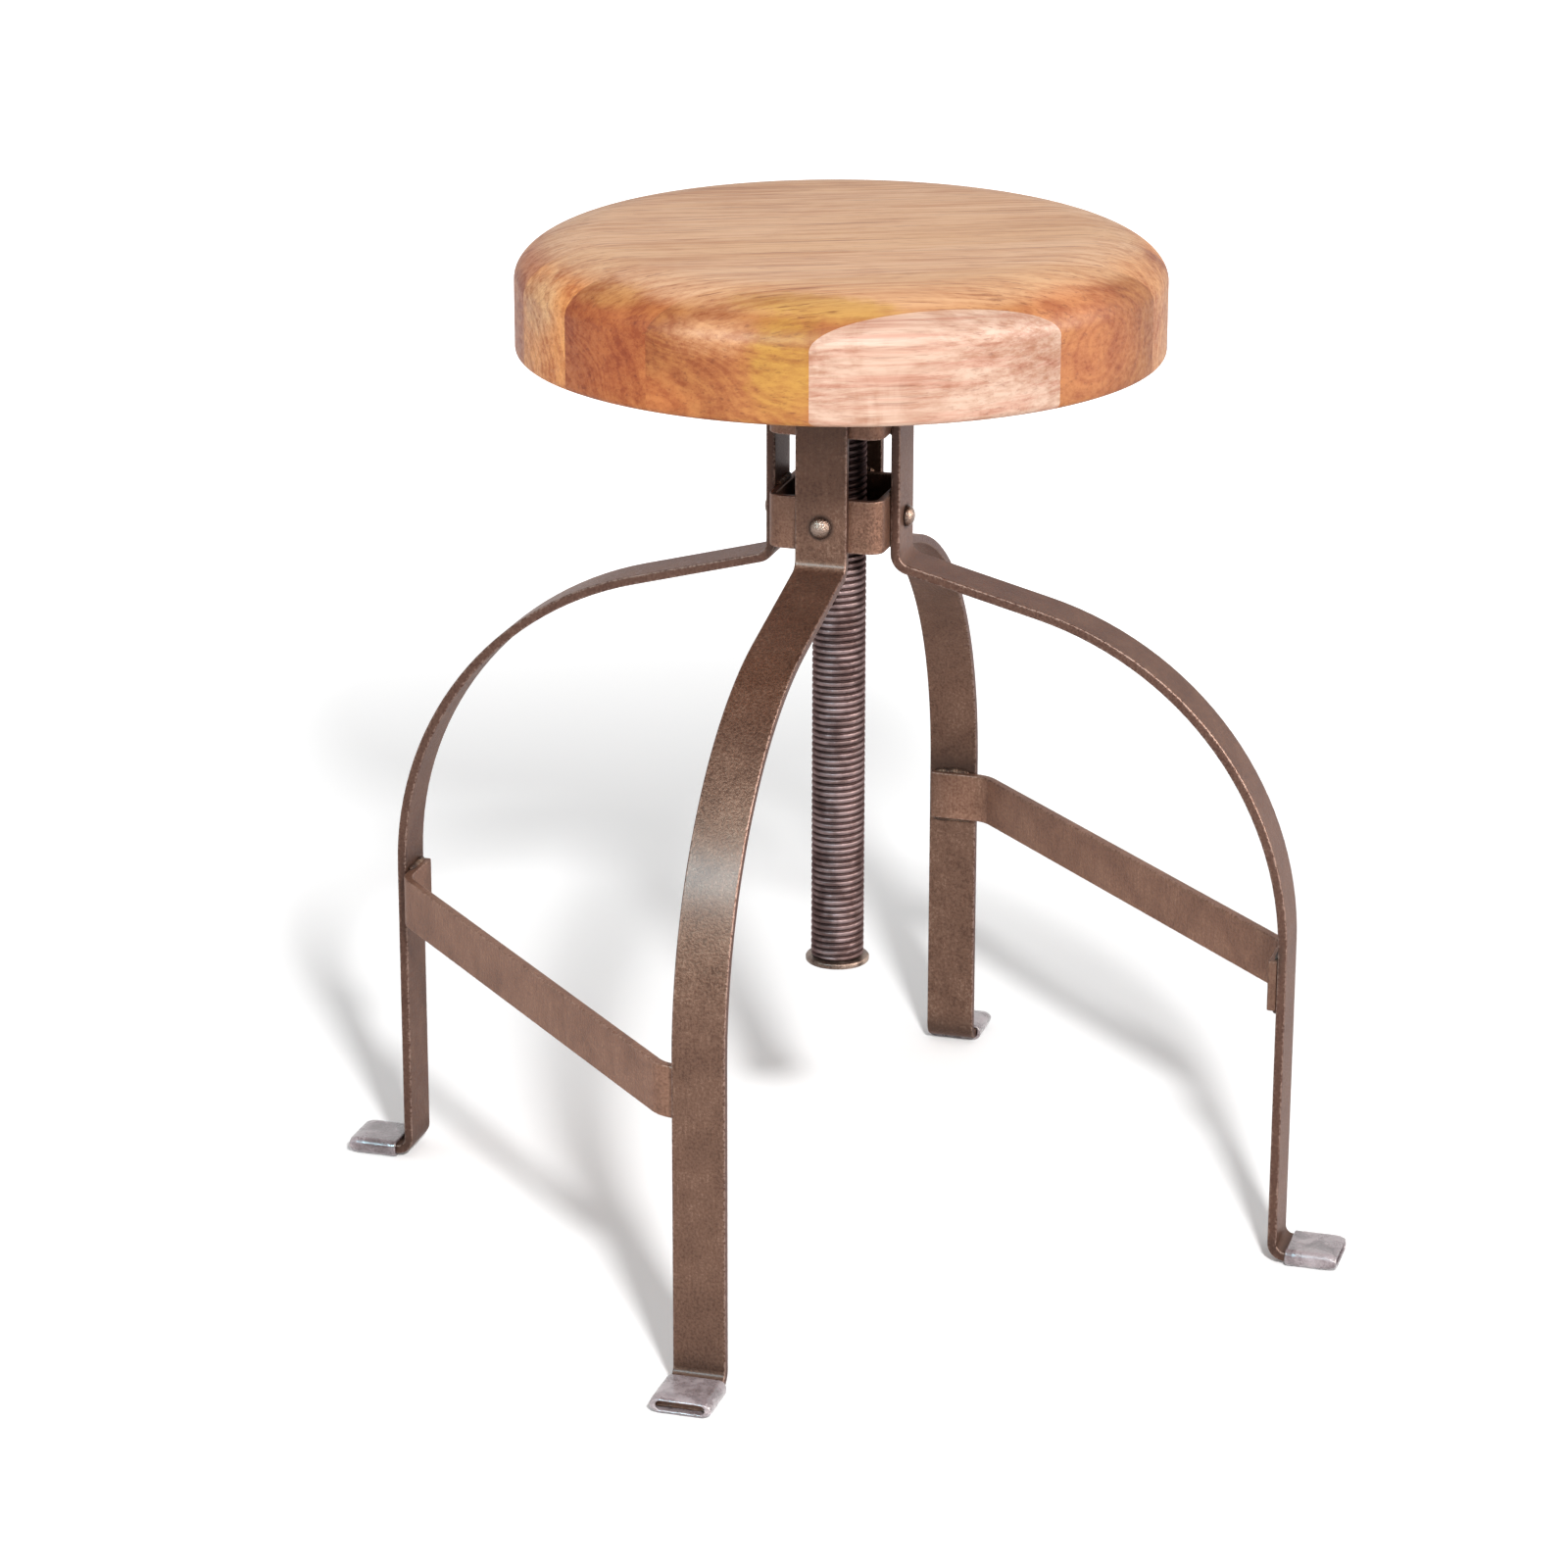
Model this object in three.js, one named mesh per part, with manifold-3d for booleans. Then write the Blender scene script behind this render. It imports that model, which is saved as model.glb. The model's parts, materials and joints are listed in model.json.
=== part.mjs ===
// Adjustable swivel stool.
//
// A thick round wooden seat turns on a threaded steel spindle and rises as it turns. Four legs of bent
// flat bar carry the spindle: each is riveted to two square collars, drops to the floor in one long
// arc, and ends in a foot tab with a vinyl sleeve on it. Two short braces tie the legs in pairs.
//
// Millimetres, +Z up. The origin is on the floor under the spindle's axis. The front leg points
// along -Y and the right leg along +X. The seat is at its lowest.

import * as THREE from "three";
import { mergeVertices } from "three/addons/utils/BufferGeometryUtils.js";
import Module from "manifold-3d";

const wasm = await Module();
wasm.setup();

// ---- Driving dimensions ----

const GAP = 0.3; // left between pieces that touch

// Seat: a turned disc, with a wide soft round-over above and a small one below.
const SEAT_RADIUS = 170;
const SEAT_THICKNESS = 62;
const SEAT_TOP_ROUND_REACH = 48; // how far in from the rim the round-over starts
const SEAT_TOP_ROUND_DROP = 24; // how far down the rim it ends
const SEAT_UNDER_RADIUS = 3;

// Flat bar that the legs and the braces are cut from.
const BAR_WIDTH = 28;
const BAR_THICKNESS = 5;

// Legs, measured on the face that looks away from the axis.
const FOOT_SPAN_RADIUS = 250; // axis to the leg, at the floor
const SHOULDER_HEIGHT = 374; // where the leg leaves the upright and heads outwards
const SHOULDER_SLOPE = THREE.MathUtils.degToRad(14.6); // below the horizontal
const SHOULDER_BEND_RADIUS = 6;
const ARC_RADIUS = 184; // the long arc from the shoulder down to the upright shin
const ANKLE_BEND_RADIUS = 4.5;
const FOOT_TAB_REACH = 29; // how far the tab sticks out past the leg
const LEG_ABOVE_COLLAR = 2;

// Collars: square bands of strip with rounded corners.
const COLLAR_SIZE = 62.5;
const COLLAR_HEIGHT = 28.6;
const COLLAR_WALL = 4;
const COLLAR_CORNER_RADIUS = 8;
const COLLAR_ABOVE_SHOULDER = 8;
const COLLAR_PITCH = 61.5; // from one collar's foot to the other's

// Braces.
const BRACE_BELOW_ARC = 3.7; // from the end of the long arc down to the brace's top edge
const BRACE_BEND_RADIUS = 17;
const BRACE_END_INSET = 2; // from the edge of the leg back to the end of the brace

// Foot sleeves: flat tubes of soft vinyl.
const SLEEVE_WALL = 2;
const SLEEVE_CORNER_RADIUS = 4.4;
const SLEEVE_LENGTH = 28;
const SLEEVE_OVERHANG = 4; // past the end of the foot tab

// Rivets.
const RIVET_SHANK_RADIUS = 3;
const RIVET_HEAD_RADIUS = 5.75;
const RIVET_HEAD_HEIGHT = 4.2;

// Spindle, nut and guide. The radius is the thread's outside.
const SPINDLE_RADIUS = 14.3;
const SPINDLE_LENGTH = 332.5;
const NUT_HEIGHT = 22;
const GUIDE_THICKNESS = 6;
const GUIDE_INSET = 1; // up from the lower collar's foot

// What keeps the spindle from being wound out.
const WASHER_LIP = 3; // wider than the spindle, all round
const WASHER_THICKNESS = 3;
const BOLT_RADIUS = 4;
const BOLT_SHANK_LENGTH = 25;
const BOLT_HEAD_ACROSS_FLATS = 13;
const BOLT_HEAD_HEIGHT = 3.2;

// Plate and screws under the seat.
const PLATE_RADIUS = 60;
const PLATE_THICKNESS = 5;
const PLATE_ABOVE_LEGS = 5.1;
const SCREW_CIRCLE_RADIUS = 46;
const SCREW_COUNT = 4;
const SCREW_SHANK_RADIUS = 2.2;
const SCREW_SHANK_LENGTH = 30;
const SCREW_HEAD_RADIUS = 4.4;
const SCREW_HEAD_HEIGHT = 3;

// Facets.
const SEAT_SEGMENTS = 80;
const SEAT_ROUND_STEPS = 8;
const SPINDLE_SEGMENTS = 48;
const SMALL_SEGMENTS = 16;
const DOME_STEPS = 4;
const BAR_ARC_SEGMENTS = 10;
const CORNER_SEGMENTS = 3;

const LEG_DIRECTIONS = { front: -90, right: 0, back: 90, left: 180 };
const UPWARDS = Math.PI / 2;

// ---- Heights and radii that follow from them ----

const tabUndersideZ = SLEEVE_WALL + GAP;
const lowerCollarZ = SHOULDER_HEIGHT + COLLAR_ABOVE_SHOULDER;
const upperCollarZ = lowerCollarZ + COLLAR_PITCH;
const legTopZ = upperCollarZ + COLLAR_HEIGHT + LEG_ABOVE_COLLAR;
const plateZ = legTopZ + PLATE_ABOVE_LEGS;
const seatZ = plateZ + PLATE_THICKNESS + GAP;
const spindleTopZ = plateZ - GAP;
const spindleFootZ = spindleTopZ - SPINDLE_LENGTH;
const washerZ = spindleFootZ - GAP - WASHER_THICKNESS;

const legInnerFace = COLLAR_SIZE / 2 + GAP;
const legOuterFace = legInnerFace + BAR_THICKNESS;
const shinInnerFace = FOOT_SPAN_RADIUS - BAR_THICKNESS;
const collarBore = COLLAR_SIZE / 2 - COLLAR_WALL;

// Where the straight below the shoulder ends and the long arc starts, from the arc's tangency.
const arcCentreR = FOOT_SPAN_RADIUS - ARC_RADIUS;
const arcStartR = arcCentreR + ARC_RADIUS * Math.sin(SHOULDER_SLOPE);
const arcStartZ = SHOULDER_HEIGHT - (arcStartR - legOuterFace) * Math.tan(SHOULDER_SLOPE);
const arcEndZ = arcStartZ - ARC_RADIUS * Math.cos(SHOULDER_SLOPE);
const braceZ = arcEndZ - BRACE_BELOW_ARC - BAR_WIDTH;

// ---- Materials ----

function material(color, roughness, metalness) {
  return new THREE.MeshStandardMaterial({ color, roughness, metalness });
}

const oiledWood = material(0xc98d57, 0.5, 0);
const lacqueredSteel = material(0x7b6558, 0.42, 0.75);
const darkSteel = material(0x3c3836, 0.35, 0.9);
const wornSteel = material(0x8d7b6e, 0.4, 0.85);
const greyVinyl = material(0xa39a9b, 0.3, 0);

// ---- Solids ----

// A closed geometry as a solid, for joining and cutting.
function solidOf(geometry) {
  const bare = geometry.clone();
  bare.deleteAttribute("normal");
  bare.deleteAttribute("uv");
  const merged = mergeVertices(bare, 1e-4);
  return new wasm.Manifold(
    new wasm.Mesh({
      numProp: 3,
      vertProperties: new Float32Array(merged.attributes.position.array),
      triVerts: new Uint32Array(merged.index.array),
    }),
  );
}

function geometryOf(solid) {
  const mesh = solid.getMesh();
  const geometry = new THREE.BufferGeometry();
  geometry.setAttribute("position", new THREE.BufferAttribute(mesh.vertProperties, 3));
  geometry.setIndex(new THREE.BufferAttribute(mesh.triVerts, 1));
  geometry.computeVertexNormals();
  return geometry;
}

function cut(geometry, tools) {
  let solid = solidOf(geometry);
  for (const tool of tools) solid = solid.subtract(solidOf(tool));
  return geometryOf(solid);
}

// A profile of [radius, height] points, turned about the Z axis.
function turned(profile, segments) {
  const points = profile.map(([radius, height]) => new THREE.Vector2(radius, height));
  return new THREE.LatheGeometry(points, segments).rotateX(UPWARDS);
}

// The radius that a faceted hole needs, so that a shaft of the given radius turns inside it.
function boreRadius(shaftRadius, segments) {
  return (shaftRadius + GAP) / Math.cos(Math.PI / segments);
}

// A round drill along +Z, its foot at the origin.
function drill(radius, length) {
  return new THREE.CylinderGeometry(radius, radius, length, SMALL_SEGMENTS)
    .rotateX(UPWARDS)
    .translate(0, 0, length / 2);
}

// Points on an elliptical quarter or any other stretch, from one angle to the other.
function ellipsePoints(centre, radii, from, to, steps) {
  return Array.from({ length: steps + 1 }, (_, i) => {
    const angle = from + ((to - from) * i) / steps;
    return [centre[0] + radii[0] * Math.cos(angle), centre[1] + radii[1] * Math.sin(angle)];
  });
}

function roundedRectangle(shape, width, height, radius) {
  const x = width / 2 - radius;
  const y = height / 2 - radius;
  shape.absarc(x, y, radius, 0, Math.PI / 2);
  shape.absarc(-x, y, radius, Math.PI / 2, Math.PI);
  shape.absarc(-x, -y, radius, Math.PI, 1.5 * Math.PI);
  shape.absarc(x, -y, radius, 1.5 * Math.PI, 2 * Math.PI);
  shape.closePath();
  return shape;
}

function extruded(shape, depth, curveSegments) {
  return new THREE.ExtrudeGeometry(shape, { depth, curveSegments, bevelEnabled: false });
}

function place(parent, name, geometry, surface, position = [0, 0, 0]) {
  const mesh = new THREE.Mesh(geometry, surface);
  mesh.name = name;
  mesh.position.set(...position);
  parent.add(mesh);
  return mesh;
}

// ---- Seat, plate and screws ----

// The screw places, as [x, y].
const screwPlaces = Array.from({ length: SCREW_COUNT }, (_, i) => {
  const angle = ((i + 0.5) / SCREW_COUNT) * 2 * Math.PI;
  return [SCREW_CIRCLE_RADIUS * Math.cos(angle), SCREW_CIRCLE_RADIUS * Math.sin(angle)];
});

function screwHoles(fromZ, length) {
  const radius = boreRadius(SCREW_SHANK_RADIUS, SMALL_SEGMENTS);
  return screwPlaces.map(([x, y]) => drill(radius, length).translate(x, y, fromZ));
}

function seatGeometry() {
  const under = SEAT_UNDER_RADIUS;
  const reach = SEAT_TOP_ROUND_REACH;
  const drop = SEAT_TOP_ROUND_DROP;
  const disc = turned(
    [
      [0, 0],
      ...ellipsePoints([SEAT_RADIUS - under, under], [under, under], -Math.PI / 2, 0, 3),
      ...ellipsePoints(
        [SEAT_RADIUS - reach, SEAT_THICKNESS - drop],
        [reach, drop],
        0,
        Math.PI / 2,
        SEAT_ROUND_STEPS,
      ),
      [0, SEAT_THICKNESS],
    ],
    SEAT_SEGMENTS,
  );
  const plateStack = PLATE_THICKNESS + GAP;
  return cut(disc, screwHoles(-1, 1 + SCREW_SHANK_LENGTH - plateStack + GAP));
}

function plateGeometry() {
  const disc = turned(
    [
      [0, 0],
      [PLATE_RADIUS, 0],
      [PLATE_RADIUS, PLATE_THICKNESS],
      [0, PLATE_THICKNESS],
    ],
    SPINDLE_SEGMENTS,
  );
  return cut(disc, screwHoles(-1, PLATE_THICKNESS + 2));
}

// A round-head screw, its head's flat at z = 0 and its shank upwards.
function screwGeometry() {
  return turned(
    [
      ...ellipsePoints([0, 0], [SCREW_HEAD_RADIUS, SCREW_HEAD_HEIGHT], -Math.PI / 2, 0, DOME_STEPS),
      [SCREW_SHANK_RADIUS, 0],
      [SCREW_SHANK_RADIUS, SCREW_SHANK_LENGTH],
      [0, SCREW_SHANK_LENGTH],
    ],
    SMALL_SEGMENTS,
  );
}

// ---- Spindle, its stop and what it runs in ----

function spindleGeometry() {
  const bore = boreRadius(BOLT_RADIUS, SPINDLE_SEGMENTS);
  const boreTop = BOLT_SHANK_LENGTH;
  return turned(
    [
      [0, boreTop],
      [bore, boreTop],
      [bore, 0],
      [SPINDLE_RADIUS, 0],
      [SPINDLE_RADIUS, SPINDLE_LENGTH],
      [0, SPINDLE_LENGTH],
    ],
    SPINDLE_SEGMENTS,
  );
}

function washerGeometry() {
  const bore = boreRadius(BOLT_RADIUS, SPINDLE_SEGMENTS);
  const rim = SPINDLE_RADIUS + WASHER_LIP;
  return turned(
    [
      [bore, 0],
      [rim, 0],
      [rim, WASHER_THICKNESS],
      [bore, WASHER_THICKNESS],
      [bore, 0],
    ],
    SPINDLE_SEGMENTS,
  );
}

// A hexagon-head bolt, its head's upper face at z = 0 and its shank upwards.
function boltGeometry() {
  const corner = BOLT_HEAD_ACROSS_FLATS / 2 / Math.cos(Math.PI / 6);
  const head = new THREE.CylinderGeometry(corner, corner, BOLT_HEAD_HEIGHT, 6)
    .rotateX(UPWARDS)
    .translate(0, 0, -BOLT_HEAD_HEIGHT / 2);
  const sunk = BOLT_HEAD_HEIGHT / 2;
  const shankLength = BOLT_SHANK_LENGTH + WASHER_THICKNESS + sunk;
  const shank = drill(BOLT_RADIUS, shankLength).translate(0, 0, -sunk);
  return geometryOf(solidOf(head).add(solidOf(shank)));
}

// A block that fills a collar's inside, with a hole that the spindle runs in.
function blockGeometry(height) {
  const side = 2 * (collarBore - GAP);
  const corner = COLLAR_CORNER_RADIUS - COLLAR_WALL;
  const shape = roundedRectangle(new THREE.Shape(), side, side, corner);
  const block = extruded(shape, height, CORNER_SEGMENTS);
  const bore = boreRadius(SPINDLE_RADIUS, SPINDLE_SEGMENTS);
  const tool = new THREE.CylinderGeometry(bore, bore, 3 * height, SPINDLE_SEGMENTS).rotateX(UPWARDS);
  return cut(block, [tool]);
}

// ---- Collars and rivets ----

function collarGeometry() {
  const shape = roundedRectangle(
    new THREE.Shape(),
    COLLAR_SIZE,
    COLLAR_SIZE,
    COLLAR_CORNER_RADIUS,
  );
  const inside = 2 * collarBore;
  const insideCorner = COLLAR_CORNER_RADIUS - COLLAR_WALL;
  shape.holes.push(roundedRectangle(new THREE.Path(), inside, inside, insideCorner));
  const band = extruded(shape, COLLAR_HEIGHT, CORNER_SEGMENTS);
  const hole = drill(boreRadius(RIVET_SHANK_RADIUS, SMALL_SEGMENTS), 2 * COLLAR_SIZE);
  const across = hole.rotateY(UPWARDS).translate(-COLLAR_SIZE, 0, COLLAR_HEIGHT / 2);
  return cut(band, [across, across.clone().rotateZ(UPWARDS)]);
}

// A round-head rivet along +X: its shank starts at the collar's inner face.
function rivetGeometry() {
  const shankLength = COLLAR_WALL + GAP + BAR_THICKNESS + GAP;
  const dome = ellipsePoints(
    [0, shankLength],
    [RIVET_HEAD_RADIUS, RIVET_HEAD_HEIGHT],
    0,
    Math.PI / 2,
    DOME_STEPS,
  );
  const profile = [[0, 0], [RIVET_SHANK_RADIUS, 0], [RIVET_SHANK_RADIUS, shankLength], ...dome];
  return turned(profile, SMALL_SEGMENTS).rotateY(UPWARDS);
}

// ---- Legs ----

// The side view of one leg, as a shape of radius and height. It goes down the outer face to the
// foot tab's end and back up the inner face.
function legShape() {
  const shape = new THREE.Shape();
  const thick = BAR_THICKNESS;
  const slope = SHOULDER_SLOPE;
  const turn = Math.PI / 2 - slope;

  // The shoulder bend's centre lies outside the leg, level with where its bend starts.
  const shoulderR = legOuterFace + SHOULDER_BEND_RADIUS;
  const shoulderZ = SHOULDER_HEIGHT + SHOULDER_BEND_RADIUS * Math.tan(turn / 2);
  const tabTopZ = tabUndersideZ + thick;
  const ankleR = FOOT_SPAN_RADIUS + ANKLE_BEND_RADIUS;
  const ankleZ = tabTopZ + ANKLE_BEND_RADIUS;
  const tabEndR = FOOT_SPAN_RADIUS + FOOT_TAB_REACH;

  shape.moveTo(legOuterFace, legTopZ);
  shape.absarc(shoulderR, shoulderZ, SHOULDER_BEND_RADIUS, Math.PI, Math.PI + turn, false);
  shape.absarc(arcCentreR, arcEndZ, ARC_RADIUS, turn, 0, true);
  shape.absarc(ankleR, ankleZ, ANKLE_BEND_RADIUS, Math.PI, 1.5 * Math.PI, false);
  shape.lineTo(tabEndR, tabTopZ);
  shape.lineTo(tabEndR, tabUndersideZ);
  shape.absarc(ankleR, ankleZ, ANKLE_BEND_RADIUS + thick, 1.5 * Math.PI, Math.PI, true);
  shape.absarc(arcCentreR, arcEndZ, ARC_RADIUS - thick, 0, turn, false);
  shape.absarc(shoulderR, shoulderZ, SHOULDER_BEND_RADIUS + thick, Math.PI + turn, Math.PI, true);
  shape.lineTo(legInnerFace, legTopZ);
  shape.closePath();
  return shape;
}

function rivetHeights() {
  return {
    lower: lowerCollarZ + COLLAR_HEIGHT / 2,
    upper: upperCollarZ + COLLAR_HEIGHT / 2,
  };
}

// One leg, pointing along +X.
function legGeometry() {
  const bar = extruded(legShape(), BAR_WIDTH, BAR_ARC_SEGMENTS)
    .rotateX(UPWARDS)
    .translate(0, BAR_WIDTH / 2, 0);
  const radius = boreRadius(RIVET_SHANK_RADIUS, SMALL_SEGMENTS);
  const holes = Object.values(rivetHeights()).map((z) =>
    drill(radius, 3 * BAR_THICKNESS)
      .rotateY(UPWARDS)
      .translate(legInnerFace - BAR_THICKNESS, 0, z),
  );
  return cut(bar, holes);
}

// One foot sleeve, along +X from the leg.
function sleeveGeometry() {
  const wall = SLEEVE_WALL;
  const insideWidth = BAR_WIDTH + 2 * GAP;
  const insideHeight = BAR_THICKNESS + 2 * GAP;
  const width = insideWidth + 2 * wall;
  const height = insideHeight + 2 * wall;
  const shape = roundedRectangle(new THREE.Shape(), height, width, SLEEVE_CORNER_RADIUS);
  const insideCorner = 2 * GAP; // small enough that the tab's square corners clear it
  shape.holes.push(roundedRectangle(new THREE.Path(), insideHeight, insideWidth, insideCorner));
  const tabEnd = FOOT_SPAN_RADIUS + FOOT_TAB_REACH;
  return extruded(shape, SLEEVE_LENGTH, CORNER_SEGMENTS)
    .rotateY(UPWARDS)
    .translate(tabEnd + SLEEVE_OVERHANG - SLEEVE_LENGTH, 0, height / 2);
}

// ---- Braces ----

// The plan of a brace between the leg along +X and the leg along +Y. Its ends lie flat on the legs'
// inner faces, and the plan is its own mirror image in the diagonal between them.
function braceShape() {
  const half = BAR_THICKNESS / 2;
  const edge = BAR_WIDTH / 2;
  const end = -edge + BRACE_END_INSET;
  const centreLine = shinInnerFace - GAP - half;
  const bendCentre = centreLine - BRACE_BEND_RADIUS;
  const eighth = Math.PI / 4;
  const outside = BRACE_BEND_RADIUS + half;
  const inside = BRACE_BEND_RADIUS - half;
  const shape = new THREE.Shape();
  shape.moveTo(centreLine + half, end);
  shape.absarc(bendCentre, edge, outside, 0, eighth, false);
  shape.absarc(edge, bendCentre, outside, eighth, 2 * eighth, false);
  shape.lineTo(end, centreLine + half);
  shape.lineTo(end, centreLine - half);
  shape.absarc(edge, bendCentre, inside, 2 * eighth, eighth, true);
  shape.absarc(bendCentre, edge, inside, eighth, 0, true);
  shape.lineTo(centreLine - half, end);
  shape.closePath();
  return shape;
}

// ---- Assembly ----

const stool = new THREE.Group();
const frameGroup = new THREE.Group();
const turningGroup = new THREE.Group();
stool.add(frameGroup, turningGroup);

const collar = collarGeometry();
place(frameGroup, "lower_collar", collar, lacqueredSteel, [0, 0, lowerCollarZ]);
place(frameGroup, "upper_collar", collar, lacqueredSteel, [0, 0, upperCollarZ]);
const nutZ = upperCollarZ + (COLLAR_HEIGHT - NUT_HEIGHT) / 2;
place(frameGroup, "spindle_nut", blockGeometry(NUT_HEIGHT), darkSteel, [0, 0, nutZ]);
const guideZ = lowerCollarZ + GUIDE_INSET;
place(frameGroup, "guide_plate", blockGeometry(GUIDE_THICKNESS), darkSteel, [0, 0, guideZ]);

const leg = legGeometry();
const sleeve = sleeveGeometry();
const rivet = rivetGeometry();
for (const [side, degrees] of Object.entries(LEG_DIRECTIONS)) {
  const quarter = new THREE.Group();
  quarter.rotation.z = THREE.MathUtils.degToRad(degrees);
  frameGroup.add(quarter);
  place(quarter, `leg_${side}`, leg, lacqueredSteel);
  place(quarter, `foot_sleeve_${side}`, sleeve, greyVinyl);
  for (const [level, z] of Object.entries(rivetHeights())) {
    place(quarter, `rivet_${level}_${side}`, rivet, wornSteel, [collarBore, 0, z]);
  }
}

const brace = extruded(braceShape(), BAR_WIDTH, BAR_ARC_SEGMENTS);
place(frameGroup, "brace_back_right", brace, lacqueredSteel, [0, 0, braceZ]);
const leftFront = place(frameGroup, "brace_left_front", brace, lacqueredSteel, [0, 0, braceZ]);
leftFront.rotation.z = Math.PI;

place(turningGroup, "seat", seatGeometry(), oiledWood, [0, 0, seatZ]);
place(turningGroup, "seat_plate", plateGeometry(), darkSteel, [0, 0, plateZ]);
const screw = screwGeometry();
screwPlaces.forEach(([x, y], i) => {
  place(turningGroup, `seat_screw_${i + 1}`, screw, wornSteel, [x, y, plateZ - GAP]);
});
place(turningGroup, "spindle", spindleGeometry(), darkSteel, [0, 0, spindleFootZ]);
place(turningGroup, "stop_washer", washerGeometry(), wornSteel, [0, 0, washerZ]);
place(turningGroup, "end_bolt", boltGeometry(), wornSteel, [0, 0, washerZ - GAP]);

export default stool;
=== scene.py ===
# %% [markdown]
# # An adjustable swivel stool
# A round wooden seat turns on a threaded steel spindle. Four legs of bent flat bar, two square
# collars, eight rivets and two braces carry it. This lesson dresses the bare solids with finished
# surfaces. Every shape is a family of closed outlines worked out with numpy, and every finish is
# made of shader nodes. Lengths are in metres, the floor is z = 0, and the spindle stands on the
# origin.

# %% Open the frame
import json
import math

import bpy
import numpy as np
from mathutils import Matrix, Vector


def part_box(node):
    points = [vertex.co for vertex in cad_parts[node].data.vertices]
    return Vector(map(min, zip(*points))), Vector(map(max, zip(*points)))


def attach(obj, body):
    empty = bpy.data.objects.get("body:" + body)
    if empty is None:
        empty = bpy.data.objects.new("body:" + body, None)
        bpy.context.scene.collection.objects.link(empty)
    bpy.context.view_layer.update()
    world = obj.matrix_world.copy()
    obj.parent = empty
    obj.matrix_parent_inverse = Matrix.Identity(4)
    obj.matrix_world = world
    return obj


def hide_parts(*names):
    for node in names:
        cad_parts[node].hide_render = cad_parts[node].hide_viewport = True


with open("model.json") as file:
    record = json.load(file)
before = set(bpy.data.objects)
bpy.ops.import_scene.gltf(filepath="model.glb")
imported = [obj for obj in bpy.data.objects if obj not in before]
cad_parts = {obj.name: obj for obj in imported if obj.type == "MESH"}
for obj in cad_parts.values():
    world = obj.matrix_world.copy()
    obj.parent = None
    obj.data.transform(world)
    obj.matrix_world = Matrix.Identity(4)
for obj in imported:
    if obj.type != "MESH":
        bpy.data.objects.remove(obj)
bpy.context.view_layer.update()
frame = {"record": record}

# %% [markdown]
# ## Where things are
# The solids already say where each piece sits, so the sizes below are read from their boxes. Only
# what a box can't tell, such as the radius of a bend, is written as a number.

# %% Read the sizes
LEG_TURNS = {"front": -90, "right": 0, "back": 90, "left": 180}
GAP = 0.0003
BAR_THICKNESS = 0.005

seat_low, seat_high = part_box("seat")
leg_low, leg_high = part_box("leg_right")
brace_low, brace_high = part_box("brace_back_right")
spindle_low, spindle_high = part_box("spindle")
plate_low, plate_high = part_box("seat_plate")
washer_low, washer_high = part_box("stop_washer")
sleeve_low, sleeve_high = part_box("foot_sleeve_right")
BAR_WIDTH = leg_high.y - leg_low.y
print(f"bar {BAR_WIDTH * 1000:.1f} x {BAR_THICKNESS * 1000:.1f} mm, leg top {leg_high.z:.4f} m")

# %% [markdown]
# ## Outlines into surfaces
# A bar, a turned disc, a collar and a vinyl sleeve have one thing in common: each is a row of
# closed outlines, joined by four-sided faces. So one helper makes the faces of a grid of outlines,
# and the other pieces need nothing but their outlines.

# %% Join outlines
def joined(outlines, closed=False):
    """Points and faces of a row of outlines, given as an array (outline, point, xyz). Point c of
    outline r is number r * columns + c, and a face joins it to its neighbours in both directions.
    An open row gets one flat face at each end, and a closed row joins its last outline to its
    first."""
    rows, columns = outlines.shape[:2]
    r = np.arange(rows if closed else rows - 1)[:, None]
    c = np.arange(columns)[None, :]
    next_r, next_c = (r + 1) % rows, (c + 1) % columns
    quads = np.stack(
        [r * columns + c, r * columns + next_c, next_r * columns + next_c, next_r * columns + c], -1
    ).reshape(-1, 4)
    faces = [quads]
    if not closed:
        faces += [np.arange(columns)[None, ::-1], np.arange(columns)[None] + (rows - 1) * columns]
    return outlines.reshape(-1, 3), faces


corners = [(0, 0), (1, 0), (1, 1), (0, 1)]
cube = joined(np.array([[(x, y, z) for x, y in corners] for z in (0.0, 1.0)]))
print("a cube has", len(cube[0]), "points and", sum(len(f) for f in cube[1]), "faces")

# %% [markdown]
# ## Which way is out
# A surface has to face outwards, or light and export both go wrong. The volume inside closed faces
# is positive only when they face out, so it both measures a piece and tells when to turn it over.

# %% Measure a surface
def face_areas(points, polygons):
    """Twice the area of each flat face as an arrow square to it: the sum of (second - first) x
    (third - first) over the triangles of its fan."""
    arms = points[polygons][:, 1:] - points[polygons][:, :1]
    return np.cross(arms[:, :-1], arms[:, 1:]).sum(1)


def volume(points, faces):
    """The volume inside closed faces: a third of the sum of each face's area arrow times the middle
    of the face. It is negative where the faces point inwards."""
    return sum(
        float((face_areas(points, f) * points[f].mean(1)).sum()) / 6 for f in faces
    )


def several(parts):
    """Several surfaces as one: each one's point numbers are moved up by the points before it."""
    points, faces, start = [], [], 0
    for part_points, part_faces in parts:
        if volume(part_points, part_faces) < 0:
            part_faces = [f[:, ::-1] for f in part_faces]
        points.append(part_points)
        faces += [f + start for f in part_faces]
        start += len(part_points)
    return np.concatenate(points), faces


print("the cube's volume is", round(float(volume(*cube)), 6))

# %% [markdown]
# ## A surface into an object
# Each point gets the average of its faces' directions, weighed by their areas, so a wide flat face
# stays flat next to a narrow rounded edge. Distances along and across a piece are kept as
# attributes, because its finish may follow them.

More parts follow.
